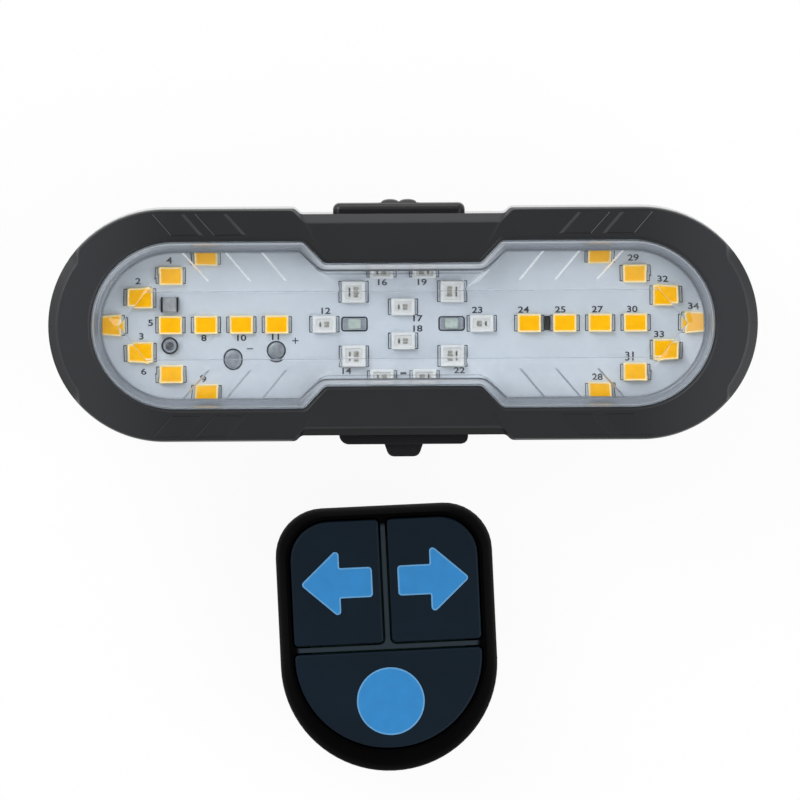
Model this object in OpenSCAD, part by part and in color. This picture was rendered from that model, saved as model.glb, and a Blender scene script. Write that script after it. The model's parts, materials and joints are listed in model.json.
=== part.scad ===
// Wireless bicycle turn signal light and its handlebar remote, in millimetres with +Z up.
// The light lies on its seatpost saddle with the lens up, and the remote lies in front of it.

/* [Light body] */
// Width of the light across its round ends
light_w = 100; // [96:0.5:120]
// Height of the light at its round ends
light_h = 32.8; // [32:0.2:40]
// Depth of the rear case from its back to its rim
case_depth = 14.4; // [14:0.2:20]
// Depth of the bezel from its seam to its face
bezel_depth = 3.8; // [3.6:0.1:6]
// Wall of the rear case
case_wall = 1.8; // [1.6:0.1:2.2]
// Rounding of the case's back edge
back_round = 1.6; // [0.8:0.1:2.4]
// Thickness of the rubber seal in each seam
seam_t = 0.4; // [0.2:0.1:0.8]
// Length of the flat of the waist in the outer edge
waist_len = 28.8; // [26:0.2:34]
// How far the waist lies inside the height of the round ends
waist_drop = 0.8; // [0.4:0.1:1.2]

/* [Bezel face] */
// Width of the bezel at the two ends
bezel_end_w = 6; // [5.4:0.1:8]
// Width of the bezel along the top and the bottom
bezel_side_w = 4.6; // [4.4:0.1:5.6]
// Width of the bezel at the waist
bezel_waist_w = 6.9; // [6.7:0.1:8]
// Length of the flat of the waist in the lens opening
window_waist_len = 22.1; // [20:0.1:24]
// How far the bevel of the waist reaches in on the face
bevel_w = 1.35; // [0.8:0.05:1.8]
// Depth of the bevels in the outer edge
bevel_h = 1.1; // [0.6:0.1:1.8]
// Width of the small chamfer round the face
edge_w = 0.3; // [0.1:0.05:0.5]
// Width of the crescent chamfer at each end
crescent_w = 1.4; // [0.6:0.1:2]
// Half of the angle that the crescent chamfer covers
crescent_angle = 42; // [20:1:60]
// Width of the step round the lens opening
step_w = 0.7; // [0.3:0.05:1]
// Depth of the step round the lens opening
step_h = 0.3; // [0.2:0.05:1]

/* [Lens] */
// Gap between the lens and the bezel's opening
lens_gap = 0.15; // [0.05:0.05:0.3]
// How far the lens flange reaches behind the bezel
lens_lap = 1.5; // [1:0.1:1.7]
// Thickness of the lens flange
flange_t = 1.2; // [0.8:0.1:1.4]
// Thickness of the bezel over the flange
lip_t = 1.8; // [1.4:0.1:2]
// Width of the raised rim of the lens
rim_w = 1.4; // [0.9:0.1:2]
// Height of the rim above the bezel's face
rim_proud = 0.7; // [0.4:0.1:1]
// Height of the flat crown above the bezel's face
crown_proud = 1.2; // [1:0.1:2]
// Thickness of the lens under its crown
lens_t = 1.6; // [1.2:0.1:2]
// Breadth of the flat crown
crown_b = 9.4; // [7:0.2:11]
// Distance of the crown's tip from the end of the opening
crown_margin = 4; // [3:0.1:6]
// Length of the crown's pointed end
crown_taper = 3.8; // [2:0.1:6]

/* [Lamp board] */
// Thickness of the lamp board
board_t = 1.6; // [1:0.1:2]
// How far the board's face lies below the case's rim
board_sink = 0.4; // [0.2:0.1:0.8]
// Gap between the board and the case
board_gap = 0.25; // [0.15:0.05:0.5]
// Length of a lamp
lamp_l = 3.4; // [2.8:0.1:3.6]
// Breadth of a lamp
lamp_b = 2.5; // [2:0.1:2.6]
// Height of a lamp
lamp_h = 0.8; // [0.5:0.05:1]
// Lamp pitches across the width of the lens opening
lamp_columns = 17.6; // [17:0.1:18.4]
// Length of a charge status lamp
status_l = 3.2; // [2:0.1:3.4]
// Breadth of a charge status lamp
status_b = 1.6; // [1:0.1:1.8]
// Head diameter of the board screw
board_screw_head = 2.4; // [2:0.1:3]

/* [Battery and electronics] */
// Gap between the battery cell's ends and the board posts
battery_end_gap = 2.8; // [2.4:0.1:6]
// Breadth of the battery cell
battery_b = 19; // [15:0.5:20]
// Gap between the battery cell and the charging connector above it
battery_top_gap = 1; // [0.4:0.1:2]
// Thickness of the battery's adhesive pad
tape_t = 0.8; // [0.4:0.1:1]
// Diameter of the battery leads
lead_d = 1.2; // [0.8:0.1:1.4]
// Width of the charging connector
port_w = 8.9; // [8.6:0.1:9.2]
// Height of the charging connector
port_h = 3.2; // [3:0.1:3.4]
// Length of the charging connector
port_l = 7.3; // [6:0.1:8]
// Height of the power switch
switch_h = 3.2; // [2.6:0.1:3.6]

/* [Power button] */
// Length of the rubber surround of the button
surround_l = 18.6; // [16:0.2:22]
// Height of the rubber surround and of the port cover
edge_pad_h = 6.4; // [5.8:0.1:6.8]
// How far the surround and the port cover stand out of the waist
edge_pad_proud = 1.4; // [1.2:0.05:1.6]
// Sideways place of the button and its surround
button_x = -0.5; // [-2:0.1:2]
// Length of the button
button_l = 5.2; // [4.8:0.1:6]
// Height of the button
button_h = 3.6; // [3:0.1:3.8]
// How far the button's two nubs stand above the surround
nub_proud = 0.55; // [0.3:0.05:1]
// Travel of the button
button_travel = 0.5; // [0.3:0.05:0.6]
// Gap round each moving key
key_gap = 0.25; // [0.15:0.05:0.35]

/* [Port cover] */
// Length of the port cover
cover_l = 18.2; // [17:0.2:22]
// Length of the cover's pull tab
tab_l = 1.8; // [1:0.1:3]
// Width of the pull tab at its root
tab_root = 5.6; // [4:0.1:7]
// Width of the pull tab at its tip
tab_tip = 4.2; // [3:0.1:5]
// How far the cover's plug reaches into the wall
plug_l = 1.5; // [0.8:0.1:1.6]
// Running gap round the cover's hinge knuckle
knuckle_gap = 0.08; // [0.05:0.01:0.15]

/* [Seatpost saddle] */
// Diameter of the seatpost that the saddle fits
post_d = 27.2; // [25.4:0.1:28]
// Height of the groove's crown above the floor
groove_h = 7.2; // [7:0.1:7.4]
// Height of the saddle from the floor to the case
saddle_h = 9.4; // [9:0.1:12]
// Width of the saddle across the groove
saddle_w = 30; // [28:0.5:34]
// Length of the saddle along the seatpost
saddle_l = 18; // [14:0.5:19]
// Thickness of the rubber liner
liner_t = 1.2; // [0.8:0.1:1.3]
// Thickness of the saddle's screw plate
plate_t = 1.6; // [1.2:0.1:1.7]
// Reach of the strap hooks
hook_reach = 3.4; // [2.5:0.1:4]

/* [Remote] */
// Width of the remote
remote_w = 30.7; // [29:0.1:36]
// Height of the remote
remote_h = 37.6; // [36:0.1:44]
// Rounding of the remote's upper corners
remote_top_round = 6.8; // [5:0.1:9]
// Width of the remote's face
face_w = 27.9; // [26:0.1:28.6]
// Height of the remote's face
face_h = 33.8; // [32:0.1:34.4]
// How far the face lies above the middle of the remote
face_shift = 0.9; // [0:0.1:1.2]
// Depth of the remote's case
remote_case_depth = 2.6; // [2.2:0.1:4]
// Wall of the remote's case and cover
remote_wall = 1.3; // [1:0.1:1.5]
// Floor of the remote's case
remote_floor = 1; // [0.8:0.1:1.4]
// Thickness of the cover's top plate
top_t = 1; // [0.8:0.1:1.4]
// Width of the cover's rim round the keys
key_rim = 0.7; // [0.6:0.05:1.2]
// Width of the grooves between the keys
key_groove = 1.15; // [0.9:0.05:1.8]
// Distance of the cross groove below the face's middle
groove_drop = 1.9; // [1:0.1:3]
// How far the keys stand above the cover
key_proud = 0.4; // [0.2:0.05:0.8]
// Travel of each key
key_travel = 0.4; // [0.2:0.05:0.5]
// Length of the arrow symbols, before their corners are rounded
arrow_l = 10.2; // [8:0.1:11]
// Height of the arrow's head, before its corners are rounded
arrow_head_b = 10.2; // [7:0.1:11]
// Length of the arrow's head, before its corners are rounded
arrow_head_l = 5.6; // [4:0.1:6]
// Height of the arrow's shaft
arrow_shaft_b = 4.3; // [3:0.1:5]
// Diameter of the mode key's dot
dot_d = 9.6; // [7:0.1:11]
// Depth of the symbols' inlay
inlay_t = 0.6; // [0.4:0.05:0.9]
// How far the symbols stand above the keys
inlay_proud = 0.1; // [0.05:0.01:0.2]
// Diameter of the coin cell
cell_d = 20; // [16:0.1:20.2]
// Thickness of the coin cell
cell_t = 3.2; // [2:0.1:3.4]
// Thickness of the remote's board
remote_board_t = 0.8; // [0.6:0.1:1.2]
// Height of the remote's switches
remote_switch_h = 0.9; // [0.8:0.05:1.2]

/* [Handlebar saddle] */
// Diameter of the handlebar that the saddle fits
bar_d = 22.2; // [21:0.1:23]
// Height of the handlebar groove's crown above the floor
bar_groove_h = 5.4; // [5.2:0.1:5.6]
// Height of the handlebar saddle from the floor to the case
bar_saddle_h = 7.6; // [7.4:0.1:8]
// Width of the handlebar saddle across the groove
bar_saddle_w = 24.8; // [24:0.1:26]
// Length of the handlebar saddle along the bar
bar_saddle_l = 22; // [16:0.5:23]
// Thickness of the handlebar liner
bar_liner_t = 1; // [0.6:0.1:1.2]
// Reach of the handlebar saddle's strap hooks
bar_hook_reach = 2.6; // [2:0.1:3]

/* [Layout] */
// Gap between the light and the remote
remote_gap = 9.7; // [6:0.1:20]
// Sideways place of the remote
remote_x = -2.4; // [-10:0.1:10]
// Turn of the remote, anticlockwise
remote_turn = 2.4; // [-5:0.1:5]

/* [Hidden] */
$fn = 48;

// Overlap that joins two shapes of one solid, and reach of a cut past a face
join = 0.2;
// Play between a screw's thread and the hole that it bites in
screw_play = 0.1;
// Clearance of the holes that screws pass through
screw_clear = 0.4;
// Play between pieces that touch when a button is pressed
touch_play = 0.05;
// Straight left between the two arcs of a round end
end_flat = 0.05;
// Smallest rounding kept when an outline moves inwards
least_round = 0.15;
// Rounding of the small corners of the waist
waist_round = 1;
// Run of the slope into the opening's waist, for each millimetre that it rises
waist_slope = 0.94;
// Steps in a large arc, a middle arc and a small corner
large_steps = 20;
middle_steps = 10;
small_steps = 3;

// Heights in the light, from the floor up
back_z = saddle_h;
inner_z = back_z + case_wall;
rim_z = back_z + case_depth;
seam_z = rim_z + seam_t;
face_z = seam_z + bezel_depth;
board_top = rim_z - board_sink;
board_z = board_top - board_t;
ledge_z = face_z - lip_t;
flange_z = ledge_z - flange_t;
crown_z = face_z + crown_proud;
lens_roof_z = crown_z - lens_t;

// Distances in the light, from its middle
end_round = light_h / 2 - end_flat;
waist_y = light_h / 2 - waist_drop;
waist_in = waist_y - case_wall;
window_w = light_w - 2 * bezel_end_w;
window_h = light_h - 2 * bezel_side_w;
window_waist = 2 * (waist_y - bezel_waist_w);
window_round = window_h / 2 - end_flat;
window_run = waist_slope * (window_h - window_waist) / 2;
lamp_pitch = window_w / lamp_columns;
crown_x = window_w / 2 - crown_margin;

// Arrow lamps: pitches out from the middle along X, millimetres along Y
shaft_columns = [3.56, 4.56, 5.56, 6.56, 8.18];
wing_columns = [[7.38, 3.65], [6.54, 6.6], [5.56, 9.25]];
arrow_spots = concat(
    [for (column = shaft_columns) [column * lamp_pitch, 0]],
    [for (side = [-1, 1], spot = wing_columns) [spot[0] * lamp_pitch, side * spot[1]]]
);
// Brake lamps: one corner of the pattern, mirrored to the others
brake_corner = [[1.39, 4.2], [0.6, 7]];
brake_column = 2.22;
brake_middle = 2.4;
brake_spots = concat(
    [for (side = [-1, 1]) [side * brake_column * lamp_pitch, 0]],
    [for (side = [-1, 1]) [0, side * brake_middle]],
    [for (sx = [-1, 1], sy = [-1, 1], spot = brake_corner) [sx * spot[0] * lamp_pitch, sy * spot[1]]]
);
status_x = 1.37 * lamp_pitch;
status_h = 0.7;
lamp_foot = 0.2;
lamp_foot_out = 0.15;
lamp_foot_in = 0.25;
resistor_spot = [(shaft_columns[0] + shaft_columns[1]) / 2 * lamp_pitch, 0];
resistor_size = [0.7, 2, 0.5];
back_resistor_columns = [1.6, 2.2, 4.4, 5];
back_resistor_y = -7;
solder_d = 2.7;
solder_top_d = 1.6;
solder_h = 0.4;
inductor_size = [2.5, 2.2, 1];
inductor_foot = [0.4, 1.6, 0.25];
negative_pad = [-4.8 * lamp_pitch, -4.7];
positive_pad = [-3.58 * lamp_pitch, -3.65];

// Screws of the light
board_post_x = 6.58 * lamp_pitch;
board_post_y = 2.9;
board_post_d = 4.2;
board_screw_d = 1.5;
board_screw_l = 4.5;
board_screw_h = 0.7;
case_screw_x = 8.6;
case_screw_inset = 3;
case_screw_y = waist_y - case_screw_inset;
case_screw_d = 1.8;
case_screw_head = 3.6;
case_screw_head_h = 1.3;
case_screw_bite = 2.4;
case_boss_d = 4.4;
lug_round = 2.4;
recess_b = 0.6;
recess_share = 0.7;

// Battery cell, in the space that the posts and the charging connector leave
battery_l = 2 * (board_post_x - board_post_d / 2 - battery_end_gap);
battery_z = inner_z + tape_t;
battery_t = board_z - port_h - battery_top_gap - battery_z;

// Battery leads, from the cell's end up to the board
lead_z = battery_z + battery_t / 2;
lead_sides = 8;
lead_y = 6.6;
lead_end = -battery_l / 2;
function lead_rise(share) = lead_z + (board_z - lead_z) * share;
// Points of a lead: out from the cell's end, share of the way across to its pad, share of the rise
lead_loop = [[0, 0, 0], [-1.4, 0, 0], [-2.4, 0.05, 0.23], [-1.6, 0.2, 0.57], [0.6, 0.5, 0.71]];
// Points above its pad: share of the rise, and the last way to the pad along X
lead_drop = [[0.78, -1], [0.87, 0], [1, 0]];
function lead_route(pad) = concat(
    [
        for (step = lead_loop)
            let (start_y = sign(pad[2]) * lead_y)
            [lead_end + step[0], start_y + (pad[1] - start_y) * step[1], lead_rise(step[2])]
    ],
    [for (step = lead_drop) [pad[0] + step[1], pad[1], lead_rise(step[0])]]
);
negative_route = lead_route([negative_pad[0], negative_pad[1], -1]);
positive_route = lead_route([positive_pad[0], positive_pad[1], 1]);

// Control parts under the board
chip_spot = [3.4 * lamp_pitch, 4];
chip_size = [10, 3.9, 1.5];
chip_legs = 8;
chip_leg_pitch = 1.27;
chip_leg = [0.42, 1, 0.3];
module_spot = [-2.6 * lamp_pitch, 5.4];
module_size = [12, 7, 1];
can_size = [8, 5.4, 1.4];
antenna_d = 0.8;
antenna_l = 22;
antenna_in = 1;

// Power button and switch
button_play = 0.1;
button_flange = [6.8, 4.4];
button_flange_t = 0.7;
button_z = board_z - button_flange[1] / 2 - button_play;
flange_in = waist_in - touch_play - button_flange_t;
switch_face = flange_in - button_travel - button_play;
switch_l = 4.6;
switch_d = 3.4;
plunger_b = 1.8;
plunger_h = 1.2;
plunger_in = 1.2;
nub_r = 1.22;
nub_pitch = 2.48;
nub_edge = 0.25;
button_cap = 0.2;
surround_round = 1;

// Port cover
cover_z = board_z - port_h / 2;
cover_gap = 0.1;
cover_round = 1;
knuckle_r = edge_pad_proud;
hinge_x = -cover_l / 2 + knuckle_r;
plug_size = [8.6, 3];
plug_play = 0.35;
plug_round = 1.2;
tab_t = 2.4;
port_wall = 0.3;
port_round = 1.4;
port_back = 0.5;
tongue_size = [6.6, 4.4, 0.7];
port_recess = 0.2;

// Seatpost saddle
post_r = post_d / 2;
post_z = groove_h - post_r;
liner_lift = 0.3;
hook_z = 1.6;
hook_t = 1.6;
hook_lip = 1.8;
hook_lip_t = 1.2;
hook_l = 12;

// Outline of the remote
remote_low_round = remote_w / 2 - end_flat;
face_top_round = 6.2;
face_low_round = face_w / 2 - end_flat;
symbol_x = 6.9;
symbol_y = 7.4;
dot_y = -9.6;
symbol_round = 0.5;
key_round = 0.6;
key_edge = 0.35;
key_edge_h = 0.3;
key_lap = 0.15;

// Heights in the remote, from the floor up
contact_t = 0.2;
remote_back = bar_saddle_h;
remote_in = remote_back + remote_floor;
remote_rim = remote_back + remote_case_depth;
remote_seam = remote_rim + seam_t;
cell_z = remote_in + contact_t;
leaf_z = cell_z + cell_t;
remote_board_z = leaf_z + contact_t;
remote_board_top = remote_board_z + remote_board_t;
remote_switch_top = remote_board_top + remote_switch_h;
key_z = remote_switch_top + key_travel + touch_play;
top_z = key_z + key_lap;
cover_top = top_z + top_t;
key_top = cover_top + key_proud;

// Cross-sections, from outside in: share of the width, share of the height
rim_profile = [[0, 0], [0.25, 0.8], [0.85, 1], [1, 0.5]];
tuck_profile = [[1, 0], [0.3, 0.3], [0, 1]];
key_profile = [[0, 1], [0.3, 0.3], [1, 0]];
// Cross-section of the remote's cover: share of its height, share of the way to the face
skirt_profile = [[0, 0], [0.41, 0.1], [0.67, 0.4], [0.9, 0.8], [1, 1]];

// Inner pieces of the remote
remote_tuck = 0.9;
remote_board_inset = 4.4;
remote_screw_inset = 2.5;
remote_screw_d = 1.2;
remote_screw_head = 2.6;
remote_screw_head_h = 0.8;
remote_screw_end = 0.6;
remote_top_angle = 45;
remote_boss_d = 3;
remote_boss_h = 2;
remote_plate_t = 1.2;
remote_plate_inset = 1.6;
remote_post_d = 2.4;
remote_post_spots = [[8.6, 11.4], [6.8, -10.6]];
cell_y = 0.4;
cell_play = 0.3;
cell_ring_t = 0.8;
cell_ring_h = 1.6;
cell_step_d = 2.5;
cell_step_t = 0.5;
contact_b = 4;
contact_l = 12;
contact_slot = 5.4;
contact_leg_out = 0.6;
remote_switch_b = 3.6;
remote_plunger_d = 1.8;
remote_plunger_in = 0.35;
remote_chip_size = [4.8, 2.4, 0.8];
remote_chip_y = 13;
remote_low_angle = 56;
bar_r = bar_d / 2;
bar_z = bar_groove_h - bar_r;
bar_hook_z = 1.4;
bar_hook_t = 1.4;
bar_hook_lip = 1.6;
bar_hook_lip_t = 1;
bar_hook_l = 12;

// Places of the light and of the remote, with the middle of the whole set at the origin
light_top = waist_y + edge_pad_proud + nub_proud;
remote_low = (remote_h / 2 - remote_low_round) * cos(remote_turn)
    + (remote_w / 2 - remote_low_round) * abs(sin(remote_turn)) + remote_low_round;
light_y = (light_h / 2 + remote_gap + remote_h / 2 + remote_low - light_top) / 2;
remote_y = light_y - light_h / 2 - remote_gap - remote_h / 2;

// Outlines: corner lists hold [x, y, rounding, steps] anticlockwise

function unit(v) = v / norm(v);
function left_of(v) = [-v[1], v[0]];
function spot_of(c) = [c[0], c[1]];
function before(list, i) = spot_of(list[(i + len(list) - 1) % len(list)]);
function after(list, i) = spot_of(list[(i + 1) % len(list)]);

function waisted(w, h, round, waist_flat, waist_h, run, corner) = [
    [-w / 2, -h / 2, round, large_steps],
    [-waist_flat / 2 - run, -h / 2, corner, small_steps],
    [-waist_flat / 2, -waist_h / 2, corner, small_steps],
    [waist_flat / 2, -waist_h / 2, corner, small_steps],
    [waist_flat / 2 + run, -h / 2, corner, small_steps],
    [w / 2, -h / 2, round, large_steps],
    [w / 2, h / 2, round, large_steps],
    [waist_flat / 2 + run, h / 2, corner, small_steps],
    [waist_flat / 2, waist_h / 2, corner, small_steps],
    [-waist_flat / 2, waist_h / 2, corner, small_steps],
    [-waist_flat / 2 - run, h / 2, corner, small_steps],
    [-w / 2, h / 2, round, large_steps]
];

function shield(w, h, top_round, low_round, shift) = [
    [-w / 2, h / 2 + shift, top_round, middle_steps],
    [-w / 2, -h / 2 + shift, low_round, large_steps],
    [w / 2, -h / 2 + shift, low_round, large_steps],
    [w / 2, h / 2 + shift, top_round, middle_steps]
];

function box_corners(w, h, round) = [
    [-w / 2, -h / 2, round, small_steps], [w / 2, -h / 2, round, small_steps],
    [w / 2, h / 2, round, small_steps], [-w / 2, h / 2, round, small_steps]
];

// The corners moved inwards by d, or outwards where d is negative
function inset(list, d) = [
    for (i = [0:len(list) - 1])
        let (
            here = spot_of(list[i]),
            in_edge = here - before(list, i),
            out_edge = after(list, i) - here,
            n1 = left_of(unit(in_edge)),
            n2 = left_of(unit(out_edge)),
            moved = here + d * (n1 + n2) / (1 + n1 * n2),
            turn = cross(in_edge, out_edge) > 0 ? -d : d
        )
        [moved[0], moved[1], max(list[i][2] + turn, least_round), list[i][3]]
];

function blend(a, b, t) = [for (i = [0:len(a) - 1]) a[i] + (b[i] - a[i]) * t];

// The points of an outline with its corners rounded
function rounded(list) = [
    for (i = [0:len(list) - 1])
        let (
            here = spot_of(list[i]),
            u = unit(before(list, i) - here),
            v = unit(after(list, i) - here),
            half = acos(u * v) / 2,
            middle = here + unit(u + v) * list[i][2] / sin(half),
            first = here + u * list[i][2] / tan(half) - middle,
            way = sign(cross(-u, v)),
            steps = list[i][3]
        )
        for (k = [0:steps])
            let (a = atan2(first[1], first[0]) + way * (180 - 2 * half) * k / steps)
            middle + list[i][2] * [cos(a), sin(a)]
];

function at_z(points, z) = [for (p = points) [p[0], p[1], z]];

// Points of a round end drawn in by the crescent chamfer
function crescent(points, middle_x, depth) = [
    for (p = points)
        let (
            side = sign(p[0]),
            arm = [p[0] - side * middle_x, p[1]],
            inside = abs(p[0]) > middle_x && abs(atan2(p[1], abs(arm[0]))) < crescent_angle
        )
        inside ? p - unit(arm) * depth : p
];

// Points of the lens opening drawn in to the flat crown with its two pointed ends
function crown(points, middle_x) = [
    for (p = points)
        let (
            side_x = sign(p[0]),
            side_y = sign(p[1]),
            along = abs(p[0]) - middle_x,
            t = along > 0 ? atan2(abs(p[1]), along) / 90 : 1,
            shoulder = crown_x - crown_taper
        )
        along > 0
            ? [side_x * (crown_x - crown_taper * t), side_y * crown_b / 2 * t]
            : [p[0] * shoulder / middle_x, side_y * crown_b / 2]
];

module loft(rings) {
    count = len(rings[0]);
    last = len(rings) - 1;
    sides = [
        for (j = [0:last - 1], i = [0:count - 1])
            let (a = j * count + i, b = j * count + (i + 1) % count)
            each [[a, a + count, b + count], [a, b + count, b]]
    ];
    low_cap = [[for (i = [0:count - 1]) i]];
    high_cap = [[for (i = [count - 1:-1:0]) last * count + i]];
    polyhedron(
        points = [for (ring = rings) each ring], faces = concat(sides, low_cap, high_cap), convexity = 8
    );
}

module closed_loft(rings) {
    count = len(rings[0]);
    total = len(rings);
    sides = [
        for (j = [0:total - 1], i = [0:count - 1])
            let (
                k = (i + 1) % count,
                low = j * count,
                high = ((j + 1) % total) * count
            )
            each [[low + i, high + i, high + k], [low + i, high + k, low + k]]
    ];
    polyhedron(points = [for (ring = rings) each ring], faces = sides, convexity = 8);
}

function tube_ring(path, i, r) =
    let (
        ahead = path[min(i + 1, len(path) - 1)],
        behind = path[max(i - 1, 0)],
        along = unit(ahead - behind),
        side = unit(cross(along, [0, 1, 0])),
        up = cross(along, side)
    )
    [
        for (k = [0:lead_sides - 1])
            let (a = 360 * k / lead_sides)
            path[i] + r * (cos(a) * side + sin(a) * up)
    ];

// A loft cut flat at two heights, which lie inside its first and last rings
module cut_loft(rings, low, high) {
    intersection() {
        loft(rings);
        translate([-light_w, -light_w, low])
            cube([2 * light_w, 2 * light_w, high - low]);
    }
}

module tube(path, d) {
    loft([for (i = [0:len(path) - 1]) tube_ring(path, i, d / 2)]);
}

module slab(corners, z, t) {
    translate([0, 0, z])
        linear_extrude(t)
            polygon(rounded(corners));
}

module band(outer, inner, z, t) {
    translate([0, 0, z])
        linear_extrude(t)
            difference() {
                polygon(rounded(outer));
                polygon(rounded(inner));
            }
}

// A slab that stands in a wall across Y: outline in X and Z, from y0 to y1
module wall_slab(corners, x, z, y0, y1) {
    translate([x, y1, z])
        rotate([90, 0, 0])
            linear_extrude(y1 - y0)
                polygon(rounded(corners));
}

module screw(shank_d, shank_l, head_d, head_h) {
    difference() {
        union() {
            translate([0, 0, -head_h])
                cylinder(d = head_d, h = head_h);
            translate([0, 0, -head_h / 2])
                cylinder(d = shank_d, h = shank_l + head_h / 2);
        }
        for (turn = [0, 90])
            rotate(turn)
                translate([0, 0, -head_h])
                    cube([recess_share * head_d, recess_b, head_h], center = true);
    }
}

module on_light() {
    translate([0, light_y, 0])
        children();
}

module on_remote() {
    translate([remote_x, remote_y, 0])
        rotate(remote_turn)
            children();
}

// Outlines of the light

wall_line = waisted(light_w, light_h, end_round, waist_len, 2 * waist_y, waist_drop, waist_round);
face_line = waisted(
    light_w - 2 * edge_w, light_h - 2 * edge_w, end_round - edge_w, waist_len - bevel_w,
    2 * (waist_y - bevel_w), waist_drop + bevel_w - edge_w, waist_round
);
window_line = waisted(
    window_w, window_h, window_round, window_waist_len, window_waist, window_run, waist_round
);
flange_line = inset(window_line, -lens_lap);
lens_line = inset(window_line, lens_gap);

// The wall outline with only its waist drawn in, by the share of the bevel at that height
function bevel_line(t) = [
    for (i = [0:len(wall_line) - 1])
        wall_line[i][3] == large_steps ? wall_line[i] : wall_line[i] + (face_line[i] - wall_line[i]) * t
];

end_x = light_w / 2 - light_h / 2;
window_end_x = window_w / 2 - window_h / 2;
bevel_share = (bevel_h - edge_w) / bevel_h;

module case_screw_spots() {
    for (sx = [-1, 1], sy = [-1, 1])
        translate([sx * case_screw_x, sy * case_screw_y, 0])
            children();
}

module board_screw_spot() {
    translate([-board_post_x, -board_post_y, 0])
        children();
}

// The light

module rear_case() {
    back_steps = [0, 30, 60, 90];
    rings = concat(
        [at_z(rounded(inset(wall_line, back_round + join)), back_z - join)],
        [
            for (a = back_steps)
                let (drawn_in = back_round * (1 - sin(a)), lift = back_round * (1 - cos(a)))
                at_z(rounded(inset(wall_line, drawn_in)), back_z + lift)
        ],
        [at_z(rounded(wall_line), rim_z + join)]
    );
    ledge_in = case_wall + 1.2;
    ledge_t = 1.6;
    ledge_x = 20;
    color("#26272b")
        on_light()
            difference() {
                union() {
                    difference() {
                        cut_loft(rings, back_z, rim_z);
                        slab(inset(wall_line, case_wall), inner_z, case_depth);
                    }
                    case_screw_spots()
                        translate([0, 0, inner_z - join])
                            cylinder(d = case_boss_d, h = rim_z - inner_z + join);
                    for (sx = [-1, 1], sy = [-1, 1])
                        translate([sx * board_post_x, sy * board_post_y, inner_z - join])
                            cylinder(d = board_post_d, h = board_z - inner_z + join);
                    intersection() {
                        band(
                            inset(wall_line, case_wall - join), inset(wall_line, ledge_in),
                            board_z - ledge_t, ledge_t
                        );
                        for (side = [-1, 1])
                            translate([side * (ledge_x + light_w / 2), 0, board_z])
                                cube([light_w, light_h, 2 * ledge_t + join], center = true);
                    }
                }
                case_screw_spots()
                    translate([0, 0, back_z - join])
                        cylinder(d = case_screw_d + screw_clear, h = case_depth + 2 * join);
                board_screw_spot()
                    translate([0, 0, board_z - board_screw_l])
                        cylinder(d = board_screw_d + screw_play, h = board_screw_l + join);
                wall_slab(
                    box_corners(button_l + 2 * key_gap, button_h + 2 * key_gap, least_round),
                    button_x, button_z, waist_in - join, waist_y + join
                );
                wall_slab(
                    box_corners(plug_size[0] + 2 * plug_play, plug_size[1] + 2 * plug_play, plug_round),
                    0, cover_z, -waist_y - join, -waist_in + join
                );
                translate([hinge_x, -waist_y, cover_z - edge_pad_h / 2 - knuckle_gap])
                    cylinder(r = knuckle_r + knuckle_gap, h = edge_pad_h + 2 * knuckle_gap);
            }
}

module case_seal() {
    seal_out = 0.4;
    seal_in = 1.5;
    color("#17181a")
        on_light()
            difference() {
                band(inset(wall_line, seal_out), inset(wall_line, seal_in), rim_z, seam_t);
                case_screw_spots()
                    translate([0, 0, rim_z - join])
                        cylinder(d = case_screw_d + screw_clear, h = seam_t + 2 * join);
            }
}

module front_bezel() {
    bevel_ring = rounded(bevel_line(bevel_share));
    recess = inset(flange_line, -lens_gap);
    rings = [
        at_z(rounded(wall_line), seam_z - join),
        at_z(rounded(wall_line), face_z - bevel_h),
        at_z(crescent(bevel_ring, end_x, bevel_share * crescent_w), face_z - edge_w),
        at_z(crescent(rounded(face_line), end_x, crescent_w - edge_w), face_z),
        at_z(rounded(inset(window_line, -step_w)), face_z),
        at_z(rounded(inset(window_line, -step_w / 2)), face_z - step_h),
        at_z(rounded(window_line), face_z - step_h),
        at_z(rounded(window_line), ledge_z),
        at_z(rounded(recess), ledge_z),
        at_z(rounded(recess), seam_z - join)
    ];
    color("#3d3d42")
        on_light()
            difference() {
                closed_loft(rings);
                translate([-light_w, -light_w, seam_z - light_h])
                    cube([2 * light_w, 2 * light_w, light_h]);
                case_screw_spots()
                    translate([0, 0, seam_z - join])
                        cylinder(d = case_screw_d + screw_play, h = case_screw_bite + 2 * join);
            }
}

module clear_lens() {
    rim_out = rounded(lens_line);
    cavity = rounded(inset(lens_line, lens_t));
    rings = concat(
        [
            at_z(cavity, lens_roof_z),
            at_z(cavity, flange_z),
            at_z(rounded(flange_line), flange_z),
            at_z(rounded(flange_line), ledge_z),
            at_z(rim_out, ledge_z)
        ],
        [
            for (step = rim_profile)
                at_z(rounded(inset(lens_line, step[0] * rim_w)), face_z + step[1] * rim_proud)
        ],
        [at_z(crown(rim_out, window_end_x), crown_z)]
    );
    color("#c8d4df", 0.45)
        on_light()
            loft(rings);
}

module lens_seal() {
    seal_out = 0.15;
    seal_in = 1.1;
    color("#2a2b2e")
        on_light()
            band(
                inset(flange_line, seal_out), inset(flange_line, seal_in), board_top, flange_z - board_top
            );
}

module lamp_board() {
    color("#e6eaee")
        on_light()
            difference() {
                slab(inset(wall_line, case_wall + board_gap), board_z, board_t);
                case_screw_spots()
                    translate([0, 0, board_z - join])
                        cylinder(d = case_boss_d + 2 * board_gap, h = board_t + 2 * join);
                board_screw_spot()
                    translate([0, 0, board_z - join])
                        cylinder(d = board_screw_d + 2 * screw_play, h = board_t + 2 * join);
            }
}

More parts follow.
